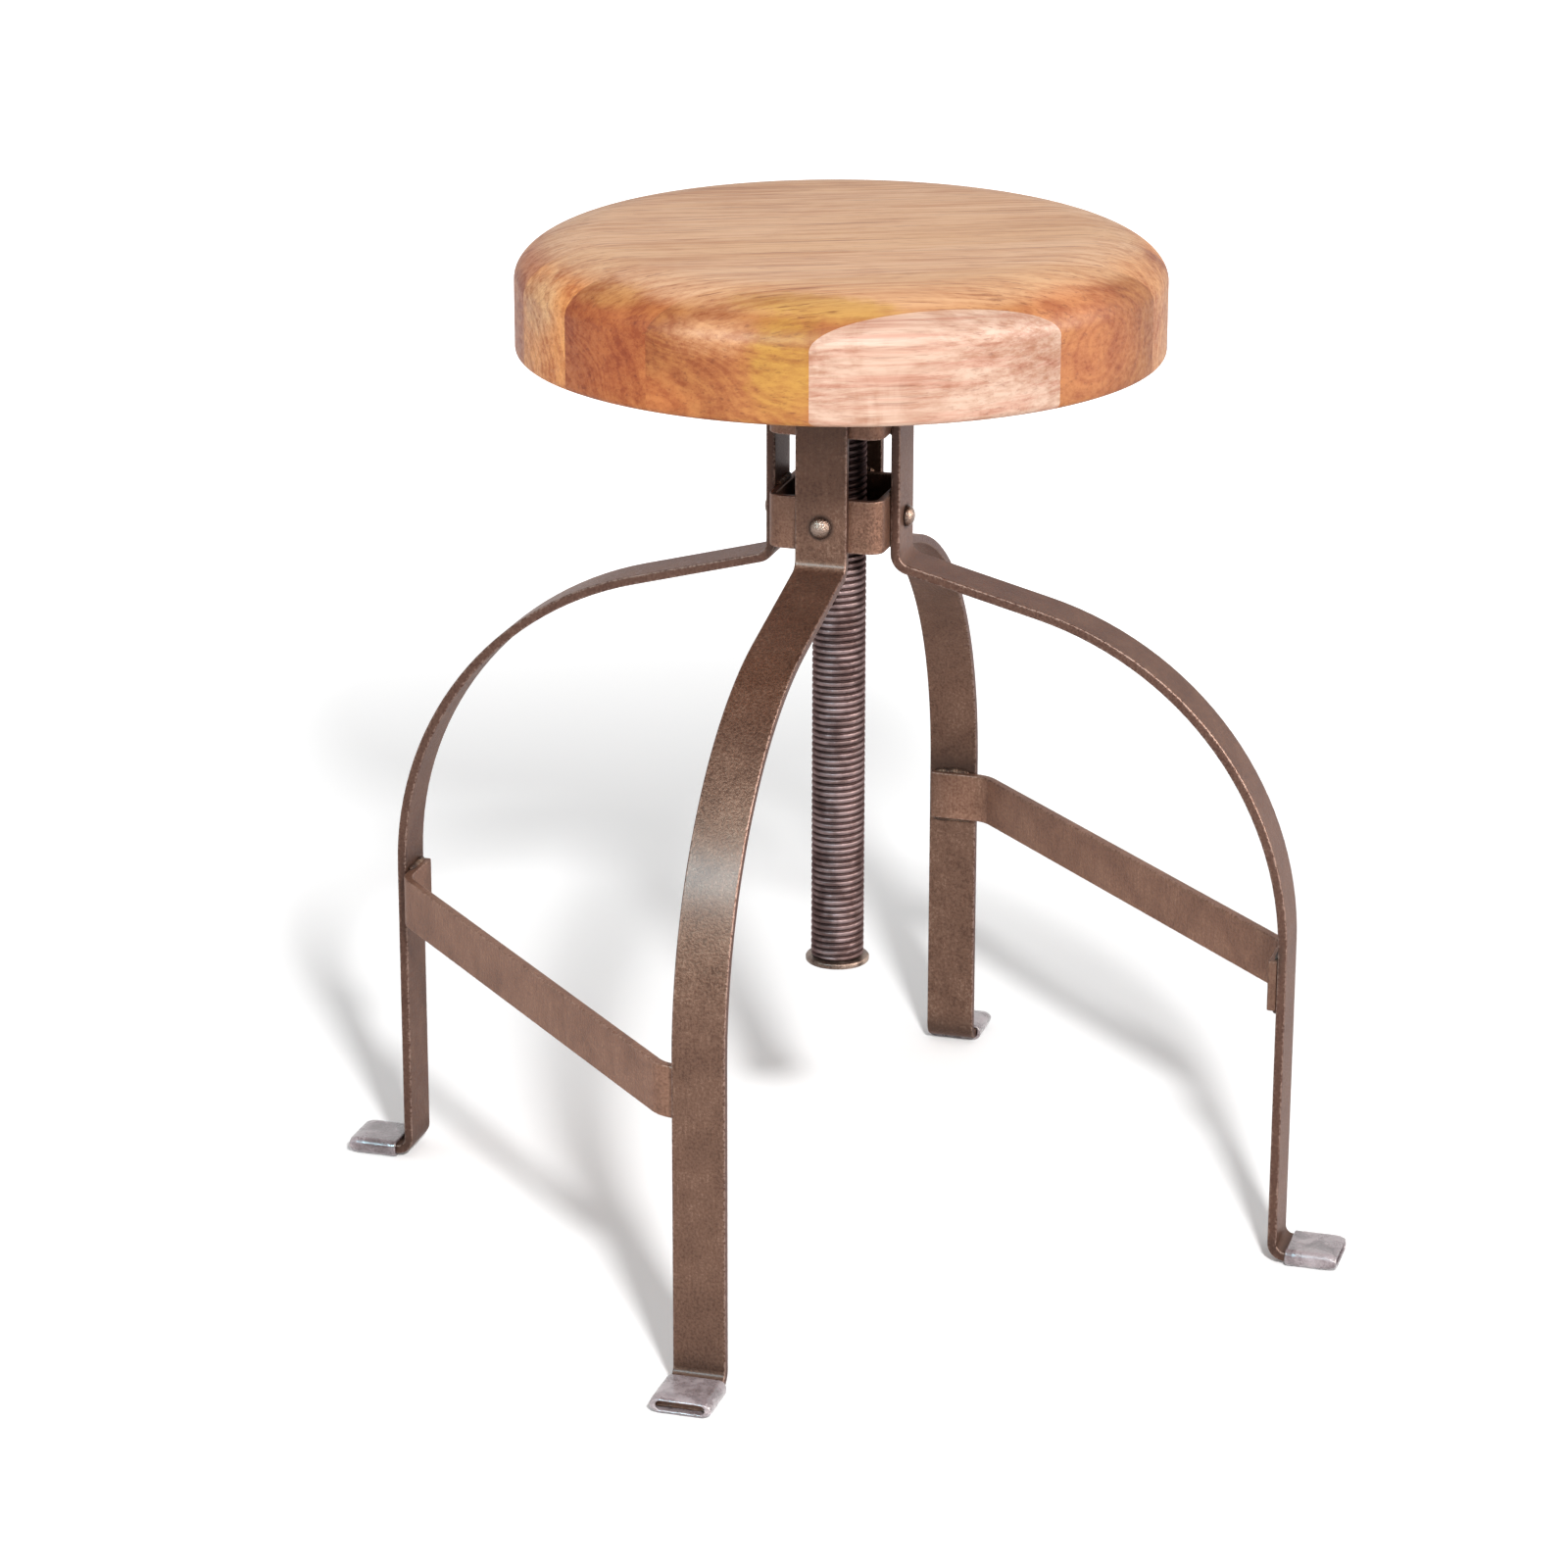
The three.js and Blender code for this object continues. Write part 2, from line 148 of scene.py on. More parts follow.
# %% Make a piece
def make_piece(name, surface, body, slot, material, stands_for=(), **attributes):
    """Puts a surface into a mesh object, facing outwards and smooth, and ties it to a body."""
    points, faces = surface
    if volume(points, faces) < 0:
        faces = [f[:, ::-1] for f in faces]
    mesh = bpy.data.meshes.new(name)
    mesh.from_pydata(points.tolist(), [], [row for f in faces for row in f.tolist()])
    mesh.polygons.foreach_set("use_smooth", np.ones(len(mesh.polygons), bool))
    arrows = np.zeros_like(points)
    for f in faces:
        np.add.at(arrows, f, face_areas(points, f)[:, None])
    arrows /= np.maximum(np.linalg.norm(arrows, axis=1, keepdims=True), 1e-12)
    mesh.normals_split_custom_set_from_vertices(arrows.tolist())
    for key, values in attributes.items():
        layer = mesh.attributes.new(key, "FLOAT", "POINT")
        layer.data.foreach_set("value", np.asarray(values, np.float32).ravel())
    mesh.materials.append(material)
    piece = bpy.data.objects.new(name, mesh)
    bpy.context.scene.collection.objects.link(piece)
    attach(piece, body)
    if stands_for:
        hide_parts(*stands_for)
    print(f"{name}: {len(points)} points, {abs(volume(points, faces)) * 1e6:.2f} cm3")
    return piece


def about_z(points, degrees):
    """Turns points about the spindle's axis: x' = x cos - y sin, y' = x sin + y cos."""
    c, s = math.cos(math.radians(degrees)), math.sin(math.radians(degrees))
    return points @ np.array([[c, s, 0], [-s, c, 0], [0, 0, 1]])


# %% [markdown]
# ## Paths and rolled bar
# A smith bends flat bar cold round a former, so its middle line is straights and arcs and nothing
# else. The path helper walks such a line exactly, in steps short enough to look round.

# %% Walk a bent path
def bent_path(start, heading, stretches, longest=0.008, most_turn=math.radians(7)):
    """Points, headings and distances along a flat path of (length, turn) stretches. Each stretch
    is cut into equal pieces. A piece that turns by t is a chord of length piece * sin(t/2) / (t/2),
    and points halfway between the headings at its ends. The points are the running sum of the
    chords."""
    lengths, turns = [], []
    for length, turn in stretches:
        count = max(1, math.ceil(length / longest), math.ceil(abs(turn) / most_turn))
        lengths += [length / count] * count
        turns += [turn / count] * count
    lengths, turns = np.array(lengths), np.array(turns)
    after = heading + np.cumsum(turns)
    middle = after - turns / 2
    chords = lengths * np.sinc(turns / 2 / np.pi)
    steps = np.stack([np.cos(middle), np.sin(middle)], 1) * chords[:, None]
    points = np.vstack([[0, 0], np.cumsum(steps, 0)]) + start
    return points, np.append(heading, after), np.append(0, np.cumsum(lengths))


quarter_turn = bent_path((0, 0), 0.0, [(0.01, math.pi / 2)])
print("a quarter turn 10 mm long ends at", np.round(quarter_turn[0][-1] * 1000, 2), "mm")

# %% [markdown]
# The bar's section is a rectangle with small round corners, as rolled bar has. The same outline
# serves the nut, the guide and the vinyl sleeves, so each of its sizes may change from one outline
# to the next.

# %% Outline the bar
def round_rectangle(half_across, half_out, radius, inset=0.0, steps=3):
    """Outlines (outline, point, 2) of a rectangle with round corners: corner centre + (radius -
    inset) * (cos, sin), with the angle running a quarter turn at each corner. Every size may be an
    array with one entry for each outline."""
    sizes = np.broadcast_arrays(*(np.atleast_1d(v) for v in (half_across, half_out, radius, inset)))
    a, o, rad, cut = (v[:, None] for v in sizes)
    quarter = np.repeat(np.arange(4), steps + 1)
    angle = (quarter + np.tile(np.linspace(0, 1, steps + 1), 4)) * math.pi / 2
    sign_a, sign_o = np.array([1, -1, -1, 1])[quarter], np.array([1, 1, -1, -1])[quarter]
    across = sign_a * (a - rad) + (rad - cut) * np.cos(angle)
    out = sign_o * (o - rad) + (rad - cut) * np.sin(angle)
    return np.stack([across, out], -1)

# %% [markdown]
# Near a sawn end the corners draw in, which gives the end its filed edge. The path gets a few short
# stretches there, so the rounding has outlines to follow.

# %% Sweep the bar
EDGE_RADIUS = 0.0009
end_angles = np.radians(np.linspace(12, 90, 4))
END_DISTANCES = EDGE_RADIUS * (math.cos(end_angles[0]) - np.cos(end_angles))
END_INSETS = EDGE_RADIUS * (1 - np.sin(end_angles))
END_STRETCHES = [(float(d), 0.0) for d in np.diff(END_DISTANCES)]


def bar_along(path, half_across, half_out, radius=EDGE_RADIUS, filed=True):
    """Sweeps a bar's section along a flat path: point = path + left-hand normal * out. Returns the
    plane coordinates, and the distances across, out and along as a dictionary, all (outline,
    point)."""
    points, headings, along = path
    inset = 0.0
    if filed:
        inset = np.interp(np.minimum(along, along[-1] - along), END_DISTANCES, END_INSETS)
    section = round_rectangle(half_across, half_out, radius, inset)
    section = np.broadcast_to(section, (len(points),) + section.shape[1:])
    normal = np.stack([-np.sin(headings), np.cos(headings)], 1)
    plane = points[:, None] + normal[:, None] * section[..., 1:]
    places = {"across": section[..., 0], "out": section[..., 1]}
    places["along"] = np.broadcast_to(along[:, None], section.shape[:2])
    return plane, places


print("end rounding:", np.round(END_DISTANCES * 1000, 2), np.round(END_INSETS * 1000, 2))

# %% [markdown]
# ## Small helpers for nodes
# A finish is a tree of nodes. These helpers add one node each, so a recipe below reads in the order
# in which a painter would lay it on: first the cloudiness of the coat, then heat tint and painted
# shade, then worn edges with their painted highlight.

# %% Add nodes
def tint(red, green, blue):
    """A screen colour, 0 to 255, as the linear colour that light follows: ((c + 0.055) / 1.055)
    to the power 2.4."""
    c = np.array([red, green, blue]) / 255
    linear = np.where(c > 0.04045, ((c + 0.055) / 1.055) ** 2.4, c / 12.92)
    return (*linear.tolist(), 1.0)


def add_node(tree, kind, sockets=None, **settings):
    node = tree.nodes.new(kind)
    for key, value in settings.items():
        setattr(node, key, value)
    for key, value in (sockets or {}).items():
        if isinstance(value, bpy.types.NodeSocket):
            tree.links.new(value, node.inputs[key])
        else:
            node.inputs[key].default_value = value
    return node

# %% [markdown]
# Sums, soft steps, mixes and colour ramps are what every finish is made of, so each gets a short
# name. The soft step eases in and out, which keeps the borders of dirt, painted shade and wear from
# looking cut.

# %% Name the mixing nodes
def calc(tree, operation, a, b=0.0, c=0.0, clamp=False):
    sockets = {0: a, 1: b, 2: c}
    node = add_node(tree, "ShaderNodeMath", sockets, operation=operation, use_clamp=clamp)
    return node.outputs[0]


def remap(tree, value, low, high, to_low=0.0, to_high=1.0):
    sockets = {
        "Value": value, "From Min": low, "From Max": high, "To Min": to_low, "To Max": to_high,
    }
    node = add_node(tree, "ShaderNodeMapRange", sockets, interpolation_type="SMOOTHSTEP")
    return node.outputs["Result"]


def blend(tree, factor, first, second, mode="MIX"):
    sockets = {0: factor, 6: first, 7: second}
    node = add_node(tree, "ShaderNodeMix", sockets, data_type="RGBA", blend_type=mode)
    return node.outputs[2]


def ramp(tree, factor, stops, interpolation="LINEAR"):
    node = add_node(tree, "ShaderNodeValToRGB", {"Fac": factor})
    node.color_ramp.interpolation = interpolation
    elements = node.color_ramp.elements
    while len(elements) < len(stops):
        elements.new(0.5)
    for element, (position, colour) in zip(elements, stops):
        element.position = position
        element.color = colour
    return node.outputs["Color"]

# %% [markdown]
# Patterns start from a place on the object. A finish reads the object's own coordinates, stretched
# or turned as the material was when it was worked, or an attribute that was laid along the piece.

# %% Name the pattern nodes
def noise(tree, vector, scale, detail=2.0, roughness=0.5, distortion=0.0):
    sockets = {
        "Vector": vector, "Scale": scale, "Detail": detail, "Roughness": roughness,
        "Distortion": distortion,
    }
    return add_node(tree, "ShaderNodeTexNoise", sockets).outputs["Fac"]


def stretched(tree, vector, scale, turn=(0, 0, 0), location=(0, 0, 0)):
    sockets = {"Vector": vector, "Scale": scale, "Rotation": turn, "Location": location}
    return add_node(tree, "ShaderNodeMapping", sockets).outputs["Vector"]


def parts(tree, vector):
    node = add_node(tree, "ShaderNodeSeparateXYZ", {0: vector})
    return node.outputs[0], node.outputs[1], node.outputs[2]


def attribute(tree, name):
    return add_node(tree, "ShaderNodeAttribute", attribute_name=name).outputs["Fac"]


def object_place(tree):
    return add_node(tree, "ShaderNodeTexCoord").outputs["Object"]

# %% [markdown]
# Every finish ends in one Principled shader. Numbers that are the same all over a piece are set on
# its sockets, and patterns are linked to them.

# %% Start and end a finish
def new_material(name):
    material = bpy.data.materials.new(name)
    material.use_nodes = True
    material.node_tree.nodes.clear()
    return material, material.node_tree


def surface_shader(tree, bump_height=None, bump_depth=0.0002, bump_strength=1.0, **sockets):
    """The Principled shader and the output, with a Bump node where there is a height. A socket's
    name is given with underscores for its spaces."""
    named = {key.replace("_", " "): value for key, value in sockets.items()}
    if bump_height is not None:
        bump = add_node(
            tree, "ShaderNodeBump",
            {"Height": bump_height, "Distance": bump_depth, "Strength": bump_strength},
        )
        named["Normal"] = bump.outputs[0]
    shader = add_node(tree, "ShaderNodeBsdfPrincipled", named)
    add_node(tree, "ShaderNodeOutputMaterial", {"Surface": shader.outputs[0]})


print("middle grey as light:", round(tint(128, 128, 128)[0], 4))


# %% [markdown]
# ## Effects that several finishes share
# Bare steel under a thin brown lacquer is never one colour: the coat runs thick and thin, the
# rolled skin shows through as fine specks, and a rag leaves short streaks. The edges rub bright
# first, and the pale drawn there also paints a highlight. Painted shade lies in a ring round a
# rivet. Each of these is a node group, built once and tuned where used.

# %% Open and use a group
def new_group(name, inputs, outputs):
    tree = bpy.data.node_groups.new(name, "ShaderNodeTree")
    for label, kind, value in inputs:
        socket = tree.interface.new_socket(name=label, in_out="INPUT", socket_type=kind)
        if value is not None:
            socket.default_value = value
    for label in outputs:
        tree.interface.new_socket(name=label, in_out="OUTPUT", socket_type="NodeSocketFloat")
    return tree, tree.nodes.new("NodeGroupInput"), tree.nodes.new("NodeGroupOutput")


def use_group(tree, group, **sockets):
    node = tree.nodes.new("ShaderNodeGroup")
    node.node_tree = group
    for key, value in sockets.items():
        socket = node.inputs[key.replace("_", " ")]
        if isinstance(value, bpy.types.NodeSocket):
            tree.links.new(value, socket)
        else:
            socket.default_value = value
    return node.outputs

# %% [markdown]
# The first group gives every finish here its unevenness: slow clouds, fine specks and short streaks
# up and down, all from one size.

# %% Cloud the coat
FLOAT, VECTOR = "NodeSocketFloat", "NodeSocketVector"


def make_mottle():
    """Cloud: slow blotches. Speck: fine grains. Streak: short marks along z. All near 0 to 1."""
    tree, given, out = new_group(
        "Mottle", [("Vector", VECTOR, None), ("Size", FLOAT, 0.02)], ["Cloud", "Speck", "Streak"]
    )
    scale = calc(tree, "DIVIDE", 1.0, given.outputs["Size"])
    fine = calc(tree, "MULTIPLY", scale, 14.0)
    cloud = noise(tree, given.outputs["Vector"], scale, 4.0, 0.6, 0.4)
    speck = noise(tree, given.outputs["Vector"], fine, 3.0, 0.65)
    flat = stretched(tree, given.outputs["Vector"], (1.0, 1.0, 0.12))
    streak = noise(tree, flat, fine, 3.0, 0.6)
    tree.links.new(remap(tree, cloud, 0.32, 0.68), out.inputs["Cloud"])
    tree.links.new(remap(tree, speck, 0.3, 0.7), out.inputs["Speck"])
    tree.links.new(remap(tree, streak, 0.35, 0.68), out.inputs["Streak"])
    return tree

# %% [markdown]
# The second finds a bar's four long corners from the distances across and through the bar. Hands
# and shoes reach those first, so the lacquer is thin there, and the pale laid on them is also a
# painted highlight along the rounded corner.

# %% Rub and highlight the edges
def make_edge_wear_and_highlight():
    """1 on the rubbed and highlighted corner of a bar, 0 on its faces. The distance from the corner
    is the larger of the two distances from it, across the bar and through it, and a broken-up reach
    limits it."""
    tree, given, out = new_group(
        "Edge wear",
        [("Across", FLOAT, 0.0), ("Out", FLOAT, 0.0), ("Half width", FLOAT, 0.014),
         ("Half thickness", FLOAT, 0.0025), ("Reach", FLOAT, 0.0012), ("Break up", FLOAT, 0.5)],
        ["Mask"],
    )
    side = calc(tree, "SUBTRACT", given.outputs["Half width"],
                calc(tree, "ABSOLUTE", given.outputs["Across"]))
    face = calc(tree, "SUBTRACT", given.outputs["Half thickness"],
                calc(tree, "ABSOLUTE", given.outputs["Out"]))
    from_corner = calc(tree, "MAXIMUM", side, face)
    shift = calc(tree, "MULTIPLY_ADD", given.outputs["Break up"], 1.6, 0.1)
    reach = calc(tree, "MULTIPLY", given.outputs["Reach"], shift)
    tree.links.new(remap(tree, from_corner, reach, 0.0), out.inputs["Mask"])
    return tree

# %% [markdown]
# The third is a ring of painted shade on a bar's face round a rivet, where the rivet's head shades
# the bar.

# %% Ring the rivets
def make_rivet_shade_ring():
    """A ring of painted shade: 1 up to the given radius round a point on a bar's face, given by the
    distance along the bar and the distance across it, and 0 further out."""
    tree, given, out = new_group(
        "Rivet shade ring",
        [("Along", FLOAT, 0.0), ("Across", FLOAT, 0.0), ("Centre", FLOAT, 0.0),
         ("Radius", FLOAT, 0.006), ("Reach", FLOAT, 0.003)],
        ["Mask"],
    )
    offset = calc(tree, "SUBTRACT", given.outputs["Along"], given.outputs["Centre"])
    square = calc(tree, "MULTIPLY", offset, offset)
    across = given.outputs["Across"]
    square = calc(tree, "ADD", square, calc(tree, "MULTIPLY", across, across))
    outside = calc(tree, "SUBTRACT", calc(tree, "SQRT", square), given.outputs["Radius"])
    tree.links.new(remap(tree, outside, given.outputs["Reach"], 0.0), out.inputs["Mask"])
    return tree

# %% [markdown]
# The last is a stain with a ragged border. Wood has many of them, and each is placed one by one.

# %% Stain a patch
def make_patch():
    """A soft patch with a ragged border: 1 inside an ellipsoid round a centre, 0 outside. The
    border is where the scaled distance, pushed about by noise, is 1."""
    tree, given, out = new_group(
        "Patch",
        [("Vector", VECTOR, None), ("Centre", VECTOR, None), ("Radii", VECTOR, None),
         ("Ragged", FLOAT, 0.5), ("Softness", FLOAT, 0.3)],
        ["Mask"],
    )
    offset = add_node(
        tree, "ShaderNodeVectorMath", {0: given.outputs["Vector"], 1: given.outputs["Centre"]},
        operation="SUBTRACT",
    ).outputs[0]
    scaled = add_node(
        tree, "ShaderNodeVectorMath", {0: offset, 1: given.outputs["Radii"]}, operation="DIVIDE"
    ).outputs[0]
    length = add_node(
        tree, "ShaderNodeVectorMath", {0: scaled}, operation="LENGTH"
    ).outputs["Value"]
    rough = calc(tree, "SUBTRACT", noise(tree, given.outputs["Vector"], 130.0, 4.0, 0.65), 0.5)
    pushed = calc(tree, "MULTIPLY_ADD", rough, given.outputs["Ragged"], length)
    inner = calc(tree, "SUBTRACT", 1.0, given.outputs["Softness"])
    outer = calc(tree, "ADD", 1.0, given.outputs["Softness"])
    tree.links.new(remap(tree, pushed, outer, inner), out.inputs["Mask"])
    return tree


mottle, edge_wear_and_highlight, rivet_shade_ring, patch = make_mottle(), make_edge_wear_and_highlight(), make_rivet_shade_ring(), make_patch()
print("groups:", [group.name for group in bpy.data.node_groups])

# %% [markdown]
# ## Lacquered bar
# The legs, collars and braces are mild steel under a thin brown lacquer. The lacquer scatters light
# and the steel under it mirrors, so one Principled shader is set about half metallic, with a thin
# clear coat. The colour climbs from the dark of thick lacquer to the pale of rubbed edges, and
# those edges also carry a painted highlight. The legs, braces and collars get darker and lighter
# copies of the same browns, which is painted light.

# %% Mix the lacquered steel
RIVET_SHADE_RADIUS, RIVET_SHADE_REACH = 0.0052, 0.0032
LACQUER_BROWNS = [(0.12, 88, 62, 50), (0.45, 112, 82, 67), (0.7, 122, 91, 75), (1.0, 152, 120, 102)]
SIDE_BAND = (0.001, 0.0004)  # where the darker narrow side starts and is full, from the bar's side
LEG_RIVET_PLACES = tuple(
    leg_high.z - (low.z + high.z) / 2
    for low, high in (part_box("rivet_upper_right"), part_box("rivet_lower_right"))
)


def lacquered_steel(name, half_width, half_thickness, rivets=(), reach=0.0011, pale=0.84,
                    side_darkening=0.5):
    """Browns by cloud, speck and streak, times pale; darker narrow sides; a dark brown wherever the
    attribute or a rivet's ring says so, which is heat tint and painted shade; and rubbed corners,
    paler for wear and a painted highlight, within reach of the edge."""
    material, tree = new_material(name)
    place = object_place(tree)
    clouds = use_group(tree, mottle, Vector=place, Size=0.02)
    cloud, speck, streak = clouds["Cloud"], clouds["Speck"], clouds["Streak"]
    across, along = attribute(tree, "across"), attribute(tree, "along")
    wear_and_highlight = use_group(
        tree, edge_wear_and_highlight, Across=across, Out=attribute(tree, "out"), Half_width=half_width,
        Half_thickness=half_thickness, Reach=reach, Break_up=speck,
    )["Mask"]
    shade = calc(tree, "MULTIPLY_ADD", speck, 0.5, calc(tree, "MULTIPLY", cloud, 0.28))
    shade = calc(tree, "MULTIPLY_ADD", streak, 0.14, calc(tree, "ADD", shade, 0.04))
    colour = ramp(
        tree, shade, [(at, tint(r * pale, g * pale, b * pale)) for at, r, g, b in LACQUER_BROWNS]
    )
    narrow_side = remap(tree, calc(tree, "ABSOLUTE", across), *(half_width - s for s in SIDE_BAND))
    colour = blend(tree, calc(tree, "MULTIPLY", narrow_side, side_darkening), colour, tint(60, 36, 32))
    heat_tint_and_shade = attribute(tree, "scorch")
    # Painted shade: a dark ring on the bar's face round each rivet.
    for centre in rivets:
        ring = use_group(tree, rivet_shade_ring, Along=along, Across=across, Centre=centre,
                         Radius=RIVET_SHADE_RADIUS, Reach=RIVET_SHADE_REACH)["Mask"]
        heat_tint_and_shade = calc(tree, "MAXIMUM", heat_tint_and_shade, ring)
    heat_tint_and_shade = calc(tree, "MULTIPLY", heat_tint_and_shade, calc(tree, "MULTIPLY_ADD", cloud, 0.3, 0.65))
    # Heat tint and painted shade: the dark brown goes where the mask says.
    colour = blend(tree, heat_tint_and_shade, colour, tint(40, 29, 25))
    # Part real wear and part painted highlight: the rubbed corners are drawn pale.
    rubbed_and_highlight = calc(tree, "MULTIPLY", wear_and_highlight, 0.34)
    colour = blend(tree, rubbed_and_highlight, colour, tint(182, 158, 146))
    gloss = calc(tree, "MULTIPLY_ADD", speck, 0.2, 0.34)
    gloss = calc(tree, "MULTIPLY_ADD", heat_tint_and_shade, 0.25, gloss)
    metal = calc(tree, "MULTIPLY_ADD", rubbed_and_highlight, 0.2, 0.48)
    height = calc(tree, "MULTIPLY_ADD", speck, 0.7, calc(tree, "MULTIPLY", cloud, 0.5))
    surface_shader(
        tree, height, 0.0003, 0.6, Base_Color=colour, Metallic=metal, Roughness=gloss,
        Specular_Tint=tint(196, 152, 132), Coat_Weight=0.18, Coat_Roughness=0.3, Coat_IOR=1.5,
    )
    return material


half_bar = BAR_THICKNESS / 2
# Painted light: pale gives the legs (0.84), braces (1.1) and collars (0.98) darker and lighter
# copies of one lacquer.
leg_steel = lacquered_steel("leg_lacquer", BAR_WIDTH / 2, half_bar, LEG_RIVET_PLACES)
brace_steel = lacquered_steel(
    "brace_lacquer", BAR_WIDTH / 2, half_bar, reach=0.001, pale=1.1, side_darkening=0.0,
)
print("rivets along the leg:", [round(p, 4) for p in LEG_RIVET_PLACES])

# %% [markdown]
# ## Legs
# Each leg runs down the collars, leans out at the shoulder, sweeps to the floor in one long arc and
# turns out flat as a foot tab. Its middle line is seven straights and arcs, so the path helper can
# walk it in one go. All four legs are the same bar, turned about the spindle.

# %% Bend the legs
SHOULDER_SLOPE = math.radians(14.6)
SHOULDER_HEIGHT = 0.374
SHOULDER_BEND = 0.006
ARC_RADIUS = 0.184
ANKLE_BEND = 0.0045
FOOT_SPAN = 0.25

upright = leg_low.x + BAR_THICKNESS
shoulder_turn = math.pi / 2 - SHOULDER_SLOPE
tangent = SHOULDER_BEND * math.tan(shoulder_turn / 2)
arc_start = FOOT_SPAN - ARC_RADIUS * (1 - math.sin(SHOULDER_SLOPE))
arc_end_z = (
    SHOULDER_HEIGHT - (arc_start - upright) * math.tan(SHOULDER_SLOPE)
    - ARC_RADIUS * math.cos(SHOULDER_SLOPE)
)
tab_top = leg_low.z + BAR_THICKNESS
END_LENGTH = float(END_DISTANCES[-1])
leg_stretches = END_STRETCHES + [
    (leg_high.z - SHOULDER_HEIGHT - tangent - END_LENGTH, 0),
    ((SHOULDER_BEND + half_bar) * shoulder_turn, shoulder_turn),
    ((arc_start - upright) / math.cos(SHOULDER_SLOPE) - tangent, 0),
    ((ARC_RADIUS - half_bar) * shoulder_turn, -shoulder_turn),
    (arc_end_z - tab_top - ANKLE_BEND, 0),
    ((ANKLE_BEND + half_bar) * math.pi / 2, math.pi / 2),
    (leg_high.x - FOOT_SPAN - ANKLE_BEND - END_LENGTH, 0),
] + END_STRETCHES[::-1]
leg_path = bent_path((upright - half_bar, leg_high.z), -math.pi / 2, leg_stretches)
print("a leg is", round(float(leg_path[2][-1]), 3), "m of bar in", len(leg_path[0]), "steps")

# %% [markdown]
# Heat tint darkens a leg over the brace weld on its inner face, and painted shade darkens it in
# three
# more places: inside the collars, under the seat, and in the bend of its ankle. Each is a soft bump
# of the height, kept to the right face, and one attribute carries the darkest of them, heat tint
# and painted shade together.

# %% Darken and place the legs
leg_plane, leg_places = bar_along(leg_path, BAR_WIDTH / 2, half_bar)
leg_outlines = np.stack([leg_plane[..., 0], leg_places["across"], leg_plane[..., 1]], -1)

brace_middle = (brace_low.z + brace_high.z) / 2
leg_scorch = np.exp(-(((leg_outlines[..., 2] - brace_middle - 0.016) / 0.009) ** 2))
leg_scorch *= 0.75 * (leg_outlines[..., 0] < FOOT_SPAN - half_bar) * (leg_outlines[..., 0] > 0.2)
# Painted shade on the leg's inner face inside the collars.
inside_top = (leg_outlines[..., 2] > SHOULDER_HEIGHT) * (leg_outlines[..., 0] < upright - half_bar)
# Painted shade in the bend of the ankle.
ankle = np.exp(-(((leg_outlines[..., 2] - leg_low.z - 0.007) / 0.006) ** 2))
leg_scorch += 0.6 * ankle * (leg_outlines[..., 0] < FOOT_SPAN + 0.012)
# Painted shadow of the seat on the top of the leg.
under_seat = np.clip((leg_outlines[..., 2] - 0.415) / 0.05, 0, 1) * 0.8
leg_scorch = np.maximum(np.maximum(leg_scorch, 0.6 * inside_top), under_seat)
for side, degrees in LEG_TURNS.items():
    points, faces = joined(leg_outlines)
    make_piece(
        f"bar_leg_{side}", (about_z(points, degrees), faces), "base", "frame_steel", leg_steel,
        [f"leg_{side}"], scorch=leg_scorch, **leg_places,
    )
print("tab end", np.round(leg_outlines[-1, :, 0].max(), 5), "against", round(leg_high.x, 5))

# %% [markdown]
# ## Braces
# A brace is a shorter piece of the same bar, stood on its edge. Its two ends lie flat against the
# inner faces of two legs and are welded there, and two bends of an eighth of a turn lead into the
# straight between them.

# %% Bend the braces
BRACE_BEND = 0.017
brace_line = FOOT_SPAN - BAR_THICKNESS - GAP - half_bar
brace_corner = brace_line - BRACE_BEND
eighth = math.pi / 4
flat_end = BAR_WIDTH / 2 - brace_low.y
diagonal = math.sqrt(2) * (brace_corner - BAR_WIDTH / 2)
brace_stretches = END_STRETCHES + [
    (flat_end - END_LENGTH, 0), (BRACE_BEND * eighth, eighth), (diagonal, 0),
    (BRACE_BEND * eighth, eighth), (flat_end - END_LENGTH, 0),
] + END_STRETCHES[::-1]
brace_path = bent_path((brace_line, brace_low.y), math.pi / 2, brace_stretches)
brace_plane, brace_places = bar_along(brace_path, BAR_WIDTH / 2, half_bar)
brace_outlines = np.concatenate([brace_plane, brace_middle + brace_places["across"][..., None]], -1)
from_end = np.minimum(brace_places["along"], brace_places["along"].max() - brace_places["along"])
brace_scorch = 0.55 * np.exp(-((from_end / 0.011) ** 2))
for name, degrees in (("back_right", 0), ("left_front", 180)):
    points, faces = joined(brace_outlines)
    make_piece(
        f"bar_brace_{name}", (about_z(points, degrees), faces), "base", "frame_steel", brace_steel,
        [f"brace_{name}"], scorch=brace_scorch, **brace_places,
    )
print("brace ends at", np.round(brace_outlines[-1].mean(0), 4), "line", round(brace_line, 4))

# %% [markdown]
# ## Weld beads
# A welder lays a bead as a row of overlapping puddles, so it looks like a string of scales. A bead
# is a small oval carried along a line, and its size swells and shrinks once for each puddle.

# %% Shape a bead
rng = np.random.default_rng(7)


RIPPLE_HEIGHT, BEAD_CHANCE, BEAD_TAPER = 0.16, 0.05, 0.22


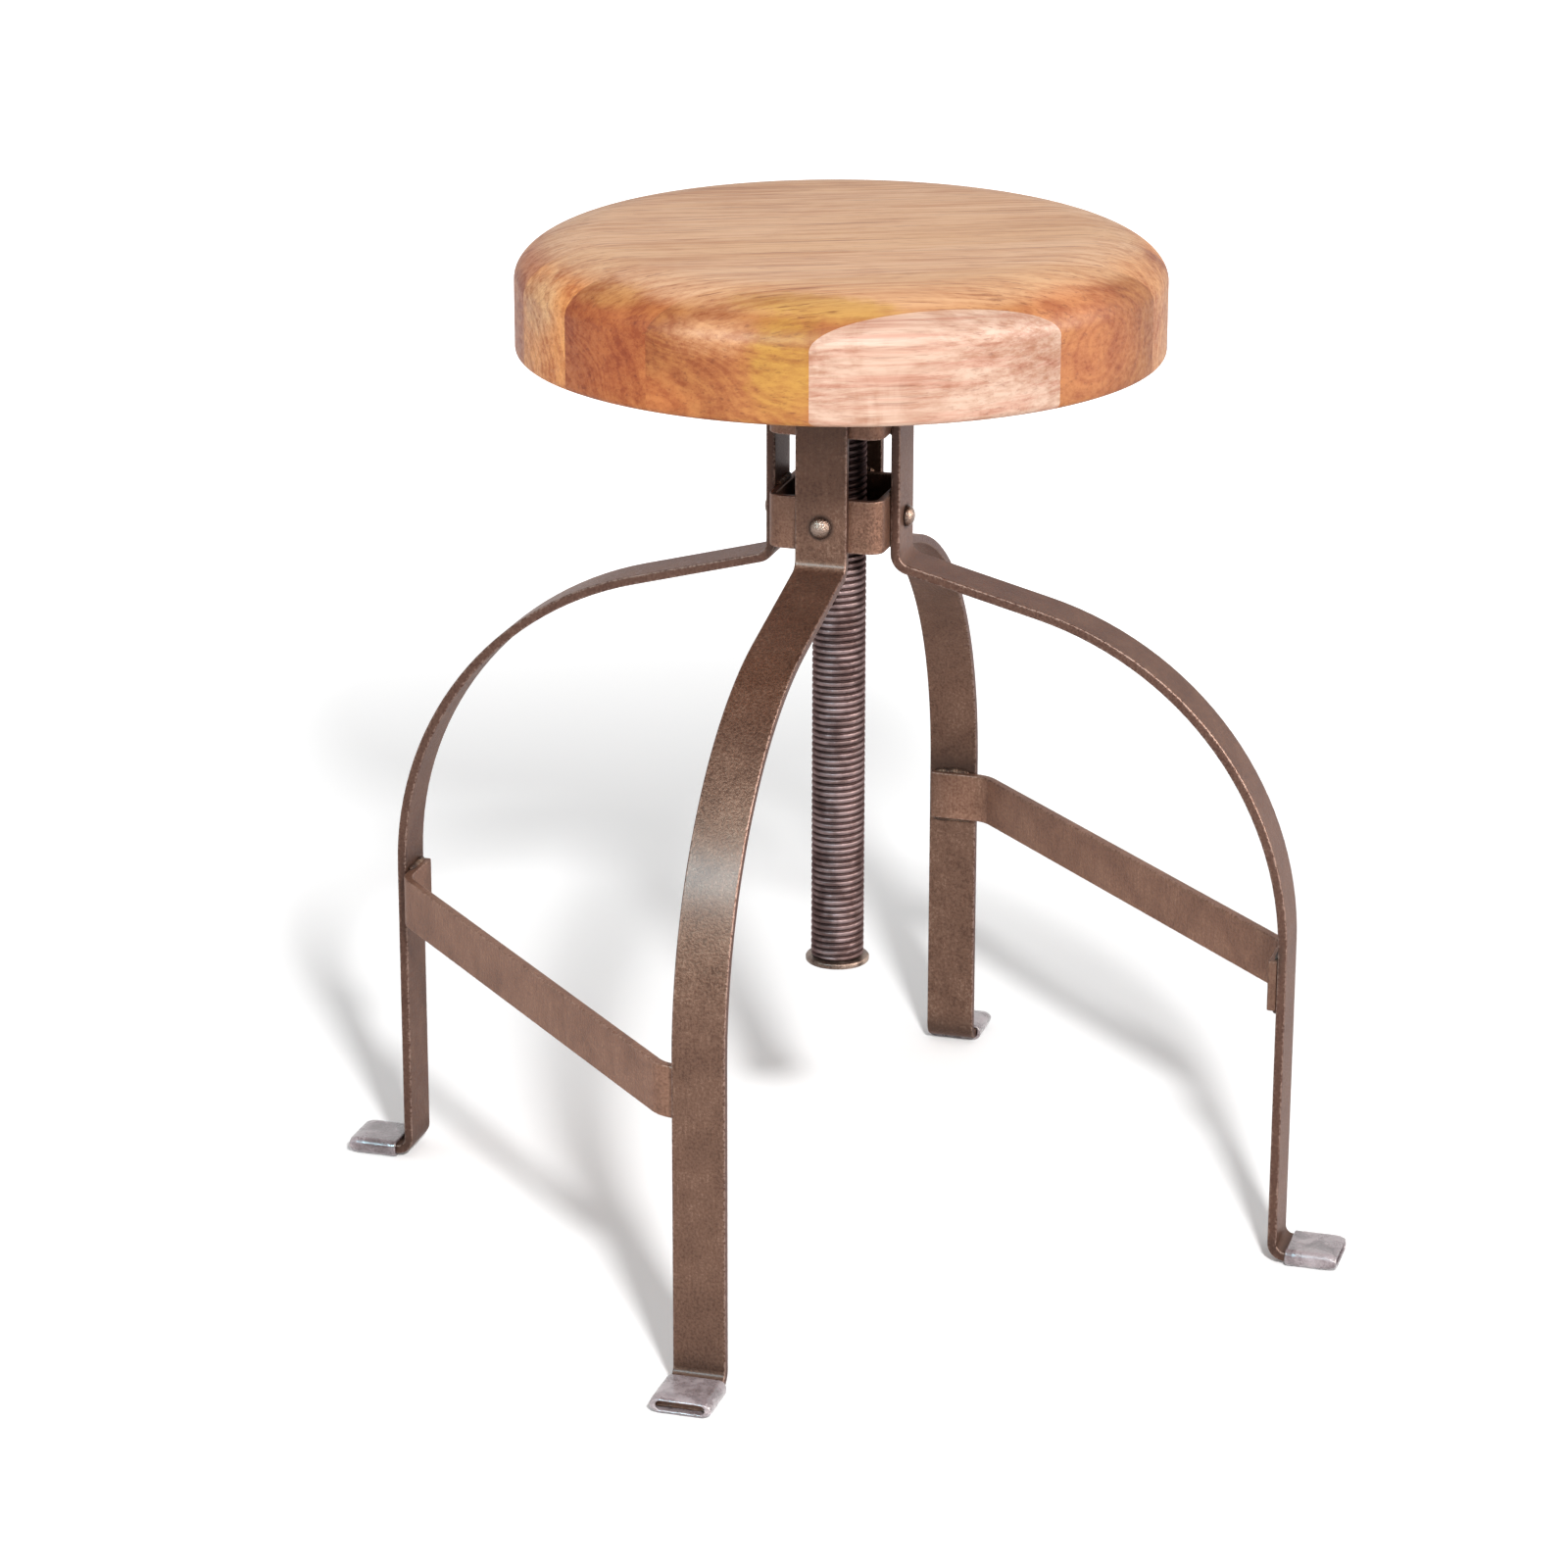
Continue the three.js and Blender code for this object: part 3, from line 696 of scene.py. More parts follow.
def bead(points, side, up, radius, ripples, tapered=True, columns=10):
    """A bead along points: each outline is point + radius * size * (side cos + up sin). The size is
    1 + ripple height * |sin(pi * ripples * t)| + a little chance, and a tapered bead's is drawn in
    at the ends by a root of sin(pi t)."""
    t = np.linspace(0, 1, len(points))
    ripple = RIPPLE_HEIGHT * np.abs(np.sin(math.pi * ripples * t))
    size = 1 + ripple + BEAD_CHANCE * rng.standard_normal(len(t))
    if tapered:
        size = size * np.maximum(np.sin(math.pi * np.clip(t, 0.004, 0.996)), 0) ** BEAD_TAPER
    angle = np.linspace(0, 2 * math.pi, columns, endpoint=False)
    oval = np.cos(angle)[:, None] * side[..., None, :] + np.sin(angle)[:, None] * up[..., None, :]
    return points[:, None] + radius * size[:, None, None] * oval

# %% [markdown]
# One bead lies above and one below each brace end, and one where each collar meets each leg. All
# of them belong to the frame and move with it, so they are one piece.

# %% Lay the beads
lower_collar_box, upper_collar_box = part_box("lower_collar"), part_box("upper_collar")
leg_inside = leg_low.x
bead_rows = [  # distance from the axis, height, half length, radius, puddles
    (brace_line + half_bar - 0.0008, brace_high.z, BAR_WIDTH / 2 - 0.004, 0.0017, 12),
    (brace_line + half_bar - 0.0004, brace_low.z - 0.0003, BAR_WIDTH / 2 - 0.003, 0.0022, 10),
    (leg_inside - 0.0006, lower_collar_box[1].z + 0.0002, BAR_WIDTH / 2 - 0.004, 0.0021, 7),
    (leg_inside - 0.0006, upper_collar_box[0].z - 0.0002, BAR_WIDTH / 2 - 0.004, 0.0021, 7),
]
BEAD_POINTS, BEAD_WANDER = 46, 0.0004
bead_parts = []
for degrees in LEG_TURNS.values():
    for distance, height, half_length, radius, puddles in bead_rows:
        across_line = np.linspace(-1, 1, BEAD_POINTS) * half_length
        wander = BEAD_WANDER * np.sin(across_line * 300 + degrees)
        line = np.stack([np.full(BEAD_POINTS, distance), across_line, height + wander], 1)
        outlines = bead(line, np.array([1.0, 0, 0]), np.array([0, 0, 1.0]), radius, puddles)
        points, faces = joined(outlines)
        bead_parts.append((about_z(points, degrees), faces))
print(len(bead_parts), "beads laid")

# %% [markdown]
# Weld metal burns as it cools, so it is darker and rougher than the bar. The lacquer over it is
# thin, and most of it shows as bare metal in patches of brown.

# %% Finish the beads
def weld_steel():
    """Burnt weld metal: clouds of dark to light brown, rougher where it is speckled."""
    material, tree = new_material("weld_metal")
    clouds = use_group(tree, mottle, Vector=object_place(tree), Size=0.012)
    colour = ramp(tree, clouds["Cloud"], [
        (0.1, tint(40, 30, 26)), (0.5, tint(76, 56, 46)), (0.9, tint(120, 98, 82)),
    ])
    rough = calc(tree, "MULTIPLY_ADD", clouds["Speck"], 0.25, 0.32)
    surface_shader(tree, clouds["Speck"], 0.0003, 0.7, Base_Color=colour, Metallic=0.75,
                   Roughness=rough)
    return material


weld_metal = weld_steel()
make_piece("frame_welds", several(bead_parts), "base", "frame_steel", weld_metal)

# %% [markdown]
# ## Collars
# Each collar is a strip bent round a square former and butted shut. The same sweep works, along a
# path that ends where it began, so the row of outlines is closed and needs no ends.

# %% Bend the collars
COLLAR_WALL = 0.004
COLLAR_CORNER = 0.008
COLLAR_EDGE = 0.0007
collar_low, collar_high = lower_collar_box
collar_half = collar_high.x - COLLAR_WALL / 2
corner_radius = COLLAR_CORNER - COLLAR_WALL / 2
run = collar_half - corner_radius
corner = (corner_radius * math.pi / 2, math.pi / 2)
collar_stretches = [(run, 0), corner] + [(2 * run, 0), corner] * 3 + [(run, 0)]
# Painted light: the collars take a lighter copy of the legs' lacquer.
collar_steel = lacquered_steel(
    "collar_lacquer", (collar_high.z - collar_low.z) / 2, COLLAR_WALL / 2, reach=0.0012,
    pale=0.98, side_darkening=0.2,
)
for name in ("lower_collar", "upper_collar"):
    low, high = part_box(name)
    path = bent_path((collar_half, 0), math.pi / 2, collar_stretches, most_turn=math.radians(10))
    path = tuple(values[:-1] for values in path)
    plane, places = bar_along(
        path, (high.z - low.z) / 2, COLLAR_WALL / 2, radius=COLLAR_EDGE, filed=False
    )
    outlines = np.concatenate([plane, (low.z + high.z) / 2 + places["across"][..., None]], -1)
    # Painted shade: the collar's inner face is drawn dark, as the inside of the hub.
    inner = np.abs(outlines[..., :2]).max(-1) < collar_half
    make_piece(
        f"band_{name}", joined(outlines, closed=True), "base", "frame_steel", collar_steel, [name],
        scorch=0.9 * inner, **places,
    )

# %% [markdown]
# ## Turned pieces
# Rivets, screws, the washer, the bolt, the plate and the seat are all turned about an axis. A
# turned piece is a row of circles, one for each radius and height of its profile. Where a head is
# six-sided or has a recess, the circle is swapped for another outline by a factor that varies round
# it.

# %% Turn a profile
def turned(profile, columns=32, shape=1.0):
    """Outlines of a profile [(radius, height), ...] about Z: (r s cos, r s sin, z), where s is the
    shape factor, 1 for a circle, and the angle runs once round."""
    profile = np.asarray(profile, float)
    angle = np.linspace(0, 2 * math.pi, columns, endpoint=False)
    r = profile[:, :1] * shape
    z = np.broadcast_to(profile[:, 1:], (len(profile), columns))
    return np.stack([r * np.cos(angle), r * np.sin(angle), z], -1)


def quarter(centre, radii, start, end, steps):
    """Points on a stretch of an ellipse: centre + (a cos, b sin), from one angle to the other."""
    angle = np.radians(np.linspace(start, end, steps + 1))
    return [(centre[0] + radii[0] * c, centre[1] + radii[1] * s)
            for c, s in zip(np.cos(angle), np.sin(angle))]


def chamfered(corners, cut):
    """A profile with each inner corner cut off: two points, each the cut length from the corner
    towards its neighbours."""
    corners = np.asarray(corners, float)
    before, here, after = corners[:-2], corners[1:-1], corners[2:]
    back, on = before - here, after - here
    back /= np.linalg.norm(back, axis=1, keepdims=True)
    on /= np.linalg.norm(on, axis=1, keepdims=True)
    pairs = np.stack([here + cut * back, here + cut * on], 1).reshape(-1, 2)
    return np.vstack([corners[:1], pairs, corners[-1:]])


print("a cut corner:", chamfered([(0, 0), (1, 0), (1, 1)], 0.25).tolist())


# %% [markdown]
# ## Rivets
# The shank of a round-head rivet goes through leg and collar, and the head is a low button with a
# flat lip at its foot. Hands and cloths polish the crown bright, and the dark drawn in the corner
# under the lip is painted shade. So the finish reads how far a point stands out: bright crown, dark
# foot.

# %% Polish the rivets
def polished_rivet():
    material, tree = new_material("rivet_polished")
    crown = attribute(tree, "crown")
    clouds = use_group(tree, mottle, Vector=object_place(tree), Size=0.01)
    # Polished crown, and painted shade at the foot under the lip.
    level = calc(tree, "MULTIPLY_ADD", clouds["Cloud"], 0.35, calc(tree, "MULTIPLY", crown, 0.75))
    colour = ramp(tree, level, [
        (0.05, tint(46, 34, 29)), (0.4, tint(92, 74, 64)), (0.8, tint(140, 120, 108)),
    ])
    rough = calc(tree, "MULTIPLY_ADD", clouds["Speck"], 0.2, 0.22)
    surface_shader(tree, clouds["Speck"], 0.00025, 0.5, Base_Color=colour, Metallic=0.85,
                   Roughness=rough, Coat_Weight=0.2, Coat_Roughness=0.2)
    return material

# %% [markdown]
# The two rows of rivets differ only in height, so one profile, stood out along X and turned about
# the spindle, gives all eight.

# %% Set the rivets
rivet_finish = polished_rivet()
RIVET_SHANK, RIVET_LIP, DOME_STEPS = 0.003, 0.0006, 12
for level in ("lower", "upper"):
    low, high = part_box(f"rivet_{level}_right")
    head = (high.z - low.z) / 2
    foot = leg_low.x + BAR_THICKNESS + GAP
    crown_height = high.x - foot
    lip = RIVET_LIP
    dome = quarter((0, foot + lip), (head - 0.0002, crown_height - lip), 0, 89, DOME_STEPS)
    dome = [(r * (1 - 0.04 * k / DOME_STEPS), z) for k, (r, z) in enumerate(dome)]
    profile = [(0.0005, low.x), (RIVET_SHANK - 0.0004, low.x), (RIVET_SHANK, low.x + 0.0004),
               (RIVET_SHANK, foot), (head - 0.0003, foot), (head, foot + 0.0002),
               (head, foot + lip)] + dome
    lathe = turned(profile, 32)
    crown = np.clip((lathe[..., 2] - foot) / crown_height, 0, 1)
    centre = (low.z + high.z) / 2
    outlines = np.stack([lathe[..., 2], lathe[..., 0], lathe[..., 1] + centre], -1)
    for side, degrees in LEG_TURNS.items():
        points, faces = joined(outlines)
        make_piece(
            f"button_{level}_{side}", (about_z(points, degrees), faces), "base", "rivet_steel",
            rivet_finish, [f"rivet_{level}_{side}"], crown=crown,
        )

# %% [markdown]
# ## Spindle
# The spindle is cut with a coarse right-hand thread from end to end. A thread is a profile carried
# round a helix, so its surface is a grid too: each column climbs one pitch in a full turn, and the
# last column joins the first one pitch higher. That keeps every crest and root on a line of the
# grid. The pitch comes from the frame: it is how far the spindle rises in one turn.

# %% Cut the thread
PITCH = frame["record"]["behaviour"]["couplings"][0]["ratio"] * 2 * math.pi
THREAD_STEPS = 8
THREAD_COLUMNS = 56
THREAD_DEPTH = 0.0011
major = spindle_high.x
minor = major - THREAD_DEPTH
thread_shape = np.array([0.0, 0.0, 0.45, 0.9, 1.0, 1.0, 0.9, 0.45])
thread_place = np.array([0.0, 0.12, 0.22, 0.32, 0.45, 0.67, 0.8, 0.9])


def thread(bottom, top):
    """Row j, column i: height = bottom + pitch * (whole turns + place in the profile + i /
    columns), kept between the ends, and radius = the smaller of the profile's radius and a cone
    that narrows to the root at each end."""
    turns = math.ceil((top - bottom) / PITCH) + 2
    j = np.arange(turns * THREAD_STEPS)
    i = np.arange(THREAD_COLUMNS)
    rise = j // THREAD_STEPS - 1 + thread_place[j % THREAD_STEPS]
    z = bottom + PITCH * (rise[:, None] + i / THREAD_COLUMNS)
    z = np.clip(z, bottom, top)
    r = minor + (major - minor) * thread_shape[j % THREAD_STEPS][:, None]
    cone = minor + np.minimum(z - bottom, top - z)
    r = np.minimum(r, cone)
    angle = 2 * math.pi * i / THREAD_COLUMNS
    points = np.stack([r * np.cos(angle), r * np.sin(angle), z], -1)
    rows = len(j)
    row = np.arange(rows - 1)[:, None]
    column = np.arange(THREAD_COLUMNS)[None]
    wrap = (column == THREAD_COLUMNS - 1) * THREAD_STEPS
    next_column = (column + 1) % THREAD_COLUMNS
    here = row * THREAD_COLUMNS + column
    right = np.minimum(row + wrap, rows - 1) * THREAD_COLUMNS + next_column
    above_right = np.minimum(row + 1 + wrap, rows - 1) * THREAD_COLUMNS + next_column
    above = here + THREAD_COLUMNS
    quads = np.stack([here, right, above_right, above], -1).reshape(-1, 4)
    return points.reshape(-1, 3), quads


print("the thread climbs", round(PITCH * 1000, 3), "mm a turn")

# %% [markdown]
# Where the thread runs out at an end, its rows are squeezed flat onto one height. Those points
# are merged, and one flat face closes each end.

# %% Close the ends
MERGE = 1e-5


def welded(points, quads):
    """Merges points that fall on the same place, to a hundredth of a millimetre, and drops faces
    that have shrunk to a line. A face that has lost one corner stays on as a triangle."""
    keys, back = np.unique(np.round(points / MERGE).astype(np.int64), axis=0, return_inverse=True)
    merged = keys * MERGE
    quads = back.ravel()[quads]
    following = np.roll(quads, -1, axis=1)
    distinct = (quads != following).sum(1)
    whole = quads[distinct == 4]
    slim = quads[distinct == 3]
    keep = (slim != np.roll(slim, -1, axis=1))
    triangles = slim[keep].reshape(-1, 3)
    return merged, whole, triangles


thread_points, thread_quads = thread(spindle_low.z, spindle_high.z)
points, whole, triangles = welded(thread_points, thread_quads)
edge_low = np.flatnonzero(points[:, 2] < spindle_low.z + 2 * MERGE)
edge_high = np.flatnonzero(points[:, 2] > spindle_high.z - 2 * MERGE)
order_low = edge_low[np.argsort(-np.arctan2(points[edge_low, 1], points[edge_low, 0]))]
order_high = edge_high[np.argsort(np.arctan2(points[edge_high, 1], points[edge_high, 0]))]
thread_surface = (points, [whole, triangles, order_low[None], order_high[None]])
print(f"thread: pitch {PITCH * 1000:.3f} mm, {len(whole)} quads")
print("points round the ends:", len(edge_low), len(edge_high))

# %% [markdown]
# The crests are rubbed bright by the nut, and the roots are drawn dark, partly old oil and partly
# painted shade in the grooves. The shader knows which is which from the distance to the spindle's
# own axis, which is the line x = y = 0. Above the lower collar the spindle is drawn nearly black,
# which is painted shade inside the hub.

# %% Finish the spindle
def threaded_steel():
    material, tree = new_material("spindle_oiled_and_shaded")
    place = object_place(tree)
    x, y, z = parts(tree, place)
    square = calc(tree, "ADD", calc(tree, "MULTIPLY", x, x), calc(tree, "MULTIPLY", y, y))
    crest = remap(tree, calc(tree, "SQRT", square), minor, major)
    clouds = use_group(tree, mottle, Vector=place, Size=0.014)
    # Part oil, part painted shade: the thread roots are drawn dark.
    polish = calc(tree, "MULTIPLY_ADD", clouds["Cloud"], 0.35, calc(tree, "MULTIPLY", crest, 0.72))
    colour = ramp(tree, polish, [
        (0.05, tint(44, 31, 30)), (0.45, tint(66, 50, 48)), (0.75, tint(86, 69, 67)),
        (1.0, tint(124, 106, 105)),
    ])
    # Painted shade: nearly black above the lower collar, inside the hub.
    hub_shade = remap(tree, z, lower_collar_box[1].z - 0.012, lower_collar_box[1].z + 0.004)
    colour = blend(tree, calc(tree, "MULTIPLY", hub_shade, 0.8), colour, tint(26, 17, 18))
    rough = calc(tree, "MULTIPLY_ADD", clouds["Speck"], 0.25, 0.3)
    surface_shader(tree, clouds["Speck"], 0.00015, 0.5, Base_Color=colour, Metallic=0.7,
                   Roughness=rough, Specular_Tint=tint(190, 160, 155))
    return material


spindle_finish = threaded_steel()
make_piece("screw_spindle", thread_surface, "seat_and_spindle", "spindle_steel", spindle_finish,
           ["spindle"])

# %% [markdown]
# ## Washer and end bolt
# A thick washer at the spindle's foot stops it from being wound out, and a hexagon bolt holds it.
# Small browned steel is one finish in several browns, so its colours are what the helper is given.

# %% Finish small steel
def worn_steel(name, dark, middle, light):
    """Three browns climbed by cloud and speck, as bare metal with a trace of lacquer."""
    material, tree = new_material(name)
    clouds = use_group(tree, mottle, Vector=object_place(tree), Size=0.012)
    cloud = calc(tree, "MULTIPLY", clouds["Cloud"], 0.6)
    shade = calc(tree, "MULTIPLY_ADD", clouds["Speck"], 0.4, cloud)
    colour = ramp(tree, shade, [(0.1, dark), (0.5, middle), (0.9, light)])
    rough = calc(tree, "MULTIPLY_ADD", clouds["Cloud"], 0.2, 0.28)
    surface_shader(tree, clouds["Speck"], 0.0002, 0.5, Base_Color=colour, Metallic=0.8,
                   Roughness=rough, Coat_Weight=0.1, Coat_Roughness=0.25)
    return material


fastener_finish = worn_steel(
    "fastener_worn", tint(70, 54, 46), tint(124, 104, 92), tint(170, 150, 136)
)
print("finish:", fastener_finish.name)

# %% [markdown]
# The washer is turned: its lower corners are eased a little, and its upper rim slopes, as a
# stamped washer's does.

# %% Turn the washer
rim, bore = washer_high.x, 0.0042
washer_profile = [
    (bore, washer_low.z + 0.0004), (bore + 0.0004, washer_low.z), (rim - 0.0005, washer_low.z),
    (rim - 0.0001, washer_low.z + 0.0004), (rim, washer_high.z - 0.0008),
    (rim - 0.0004, washer_high.z - 0.0002), (rim - 0.0009, washer_high.z),
    (bore + 0.0004, washer_high.z), (bore, washer_high.z - 0.0004),
]
make_piece("washer_stop", joined(turned(washer_profile, 64), closed=True), "stop", "fastener_steel",
           fastener_finish, ["stop_washer"])

# %% [markdown]
# The bolt's outline is a circle times the factor 1 / cos(angle within a side), which is a hexagon.
# Near the two faces the factor is held below a limit, which cuts the corners back as a turned
# chamfer does.

# %% Make the end bolt
bolt_low, bolt_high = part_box("end_bolt")
FLATS = 0.013
HEAD_HEIGHT = 0.0032
head_top = bolt_low.z + HEAD_HEIGHT
BOLT_SHANK = 0.004
BOLT_COLUMNS = 72
angle = np.linspace(0, 2 * math.pi, BOLT_COLUMNS, endpoint=False)
hexagon = 1 / np.cos((angle + math.pi / 6) % (math.pi / 3) - math.pi / 6)
flat_radius = FLATS / 2
bolt_profile, bolt_limits = [], []
for z, most in (
    (bolt_low.z, 0.93), (bolt_low.z + 0.0004, 1.0), (bolt_low.z + 0.0016, 1.16),
    (head_top - 0.0012, 1.16), (head_top - 0.0003, 1.04), (head_top, 1.0),
):
    bolt_profile.append((flat_radius, z))
    bolt_limits.append(np.minimum(hexagon, most))
bolt_profile = [(0.001, bolt_low.z)] + bolt_profile + [
    (BOLT_SHANK, head_top), (BOLT_SHANK, bolt_high.z), (0.001, bolt_high.z),
]
one = np.ones(BOLT_COLUMNS)
bolt_shape = np.array([one] + bolt_limits + [one, one, one])
make_piece(
    "bolt_end", joined(turned(bolt_profile, BOLT_COLUMNS, bolt_shape)), "seat_and_spindle",
    "fastener_steel", fastener_finish, ["end_bolt"],
)

# %% [markdown]
# ## Nut and guide
# The upper collar holds a block with the thread that the spindle climbs, and the lower collar holds
# a thinner plate that only steadies it. Both are hidden unless the seat is high. Both are square
# outside and round inside, so eight outlines closed into a ring make them.

# %% Make the blocks
BLOCK_CORNER = 0.004


def square_ring(low, high, bore, cut=0.0006, steps=7):
    """Rows of outlines from the outer foot, up the outside, over and down the bore. Outer outlines
    are square with round corners, and inner ones are circles with the same number of points."""
    half = high.x
    insets = [cut, 0, 0, cut]
    heights = [low.z, low.z + cut, high.z - cut, high.z]
    outer = round_rectangle(half, half, BLOCK_CORNER, np.array(insets), steps)
    angle = np.arctan2(outer[0, :, 1], outer[0, :, 0])
    circle = np.stack([np.cos(angle), np.sin(angle)], -1)
    inner = np.array([bore + cut, bore, bore, bore + cut])[:, None, None] * circle
    plane = np.concatenate([outer, inner])
    z = np.array(heights + heights[::-1])[:, None, None]
    return np.concatenate([plane, np.broadcast_to(z, plane.shape[:2] + (1,))], -1)


block_finish = worn_steel("block_oiled", tint(34, 28, 26), tint(66, 56, 50), tint(104, 92, 84))
for name, piece_name in (("spindle_nut", "block_nut"), ("guide_plate", "block_guide")):
    low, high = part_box(name)
    ring = joined(square_ring(low, high, major + GAP), closed=True)
    make_piece(piece_name, ring, "base", "spindle_steel", block_finish, [name])

# %% [markdown]
# ## Seat plate and screws
# Under the seat, a round plate is welded to the spindle and screwed to the wood. Its rim is
# chamfered, and the weld is the same bead as before, laid in a ring.

# %% Make the plate
PLATE_CHAMFER = 0.0007
plate_rim = plate_high.x
plate_profile = chamfered([
    (0.002, plate_low.z), (plate_rim, plate_low.z), (plate_rim, plate_high.z),
    (0.002, plate_high.z),
], PLATE_CHAMFER)
plate_profile = np.insert(plate_profile, 1, [(0.02, plate_low.z), (0.04, plate_low.z)], axis=0)
plate_finish = worn_steel("plate_dark", tint(46, 36, 31), tint(82, 66, 56), tint(118, 98, 84))
make_piece("disc_plate", joined(turned(plate_profile, 72)), "seat_and_spindle", "spindle_steel",
           plate_finish, ["seat_plate"])

ring_angle = np.linspace(0, 2 * math.pi, 96, endpoint=False)
outwards = np.stack([np.cos(ring_angle), np.sin(ring_angle), 0 * ring_angle], 1)
ring_line = outwards * (major + 0.0008) + np.array([0, 0, plate_low.z - 0.0006])
ring = bead(ring_line, outwards, np.array([0, 0, 1.0]), 0.0024, 26, tapered=False, columns=12)
make_piece(
    "spindle_weld", joined(ring, closed=True), "seat_and_spindle", "spindle_steel", weld_metal
)

# %% [markdown]
# The screws have round heads with a cross recess. The recess is made of outlines with four lobes,
# which shrink as they go in.

# %% Drive the screws
SCREW_COLUMNS, SCREW_SHANK = 40, 0.0022
screw_angle = np.linspace(0, 2 * math.pi, SCREW_COLUMNS, endpoint=False)
lobes = 0.45 + 0.55 * np.abs(np.cos(2 * screw_angle)) ** 3
for number in range(1, 5):
    low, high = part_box(f"seat_screw_{number}")
    centre = np.array([(low.x + high.x) / 2, (low.y + high.y) / 2, 0])
    head = (high.x - low.x) / 2
    under = plate_low.z - GAP
    tall = under - low.z
    dome = quarter((0, under), (head, tall), 0, -66, 7)
    mouth = dome[-1]
    profile = [(0.0004, high.z), (0.0012, high.z - 0.002), (SCREW_SHANK, high.z - 0.006),
               (SCREW_SHANK, under)] + dome
    profile += [(0.0017, mouth[1] + 0.0001), (0.0014, under - 0.0004), (0.0003, under - 0.0002)]
    circle = np.ones(SCREW_COLUMNS)
    shape = np.array([circle] * (len(profile) - 3) + [lobes, lobes, circle])
    outlines = turned(profile, SCREW_COLUMNS, shape) + centre
    make_piece(f"screw_{number}", joined(outlines), "seat_and_spindle", "fastener_steel",
               fastener_finish, [f"seat_screw_{number}"])

# %% [markdown]
# ## Foot sleeves
# Short lengths of flat vinyl tube are pushed over the foot tabs to save the floor. The vinyl is
# cloudy, so some light goes through it, and it has taken up a little grime.

# %% Cloud the vinyl
def cloudy_vinyl():
    material, tree = new_material("vinyl_cloudy")
    place = object_place(tree)
    clouds = use_group(tree, mottle, Vector=place, Size=0.016)
    grime = calc(tree, "MULTIPLY", clouds["Cloud"], 0.75)
    shade = calc(tree, "MULTIPLY_ADD", clouds["Speck"], 0.25, grime)
    colour = ramp(tree, shade, [
        (0.1, tint(106, 92, 94)), (0.5, tint(148, 134, 137)), (0.95, tint(190, 178, 181)),
    ])
    rough = calc(tree, "MULTIPLY_ADD", clouds["Cloud"], 0.2, 0.16)
    height = calc(tree, "MULTIPLY_ADD", clouds["Speck"], 0.15, clouds["Cloud"])
    surface_shader(tree, height, 0.0006, 0.6, Base_Color=colour, Roughness=rough,
                   Transmission_Weight=0.35, IOR=1.53, Coat_Weight=0.7, Coat_Roughness=0.1)
    return material


vinyl = cloudy_vinyl()
print("finish:", vinyl.name)

# %% [markdown]
# A sleeve is a closed ring of outlines: along its outside, over a soft lip, back along its inside,
# and over the other lip. The outside share is 1 on the outside and 0 on the inside. Past the tab's
# end the tube is pinched at its sides, so its mouth is shaped like a lens.

# %% Shape the sleeves
SLEEVE_WALL = 0.002
SLEEVE_ROWS = 12
MOUTH_NARROWING, MOUTH_PINCH, SLEEVE_HOLLOW = 0.0018, 0.5, 0.06
lip_angles = np.radians(np.linspace(0, 180, 7))[1:-1]
run_out = np.linspace(0, 1, SLEEVE_ROWS)
lip_depth = SLEEVE_WALL / 2
span_low, span_high = sleeve_low.x + lip_depth, sleeve_high.x - lip_depth
outside_share = np.concatenate([
    np.ones(SLEEVE_ROWS), (1 + np.cos(lip_angles)) / 2,
    np.zeros(SLEEVE_ROWS), (1 - np.cos(lip_angles)) / 2,
])
sleeve_r = np.concatenate([
    span_low + (span_high - span_low) * run_out, span_high + lip_depth * np.sin(lip_angles),
    span_high - (span_high - span_low) * run_out, span_low - lip_depth * np.sin(lip_angles),
])
half_tall = (sleeve_high.z - sleeve_low.z) / 2 - SLEEVE_WALL * (1 - outside_share)
past_tab = np.clip((sleeve_r - leg_high.x) / (sleeve_high.x - leg_high.x), 0, 1)
mouth_share = past_tab * (1 - outside_share)
half_wide = sleeve_high.y - SLEEVE_WALL * (1 - outside_share) - MOUTH_NARROWING * mouth_share
sleeve_corner = 0.001 + 0.0034 * outside_share + 0.0015 * mouth_share
sleeve_section = round_rectangle(half_wide, half_tall, sleeve_corner, steps=6)
off_middle = sleeve_section[..., 0] / sleeve_high.y
pinch = 1 - MOUTH_PINCH * past_tab[:, None] * off_middle ** 2
hollow = 1 - SLEEVE_HOLLOW * outside_share[:, None] * np.cos(off_middle * 1.5)
sleeve_outlines = np.stack([
    np.broadcast_to(sleeve_r[:, None], sleeve_section.shape[:2]),
    sleeve_section[..., 0],
    sleeve_section[..., 1] * pinch * np.where(sleeve_section[..., 1] > 0, hollow, 1)
    + (sleeve_low.z + sleeve_high.z) / 2,
], -1)
for side, degrees in LEG_TURNS.items():
    points, faces = joined(sleeve_outlines, closed=True)
    make_piece(f"sleeve_{side}", (about_z(points, degrees), faces), "base", "sleeve_vinyl", vinyl,
               [f"foot_sleeve_{side}"])

# %% [markdown]
# ## Seat shape
# The seat is turned on a lathe from a block of glued planks: flat above and below, a small round
# edge underneath, an upright rim, and a wide soft round-over that is a quarter of an ellipse. The
# finer the steps on the round-over, the smoother its highlight.

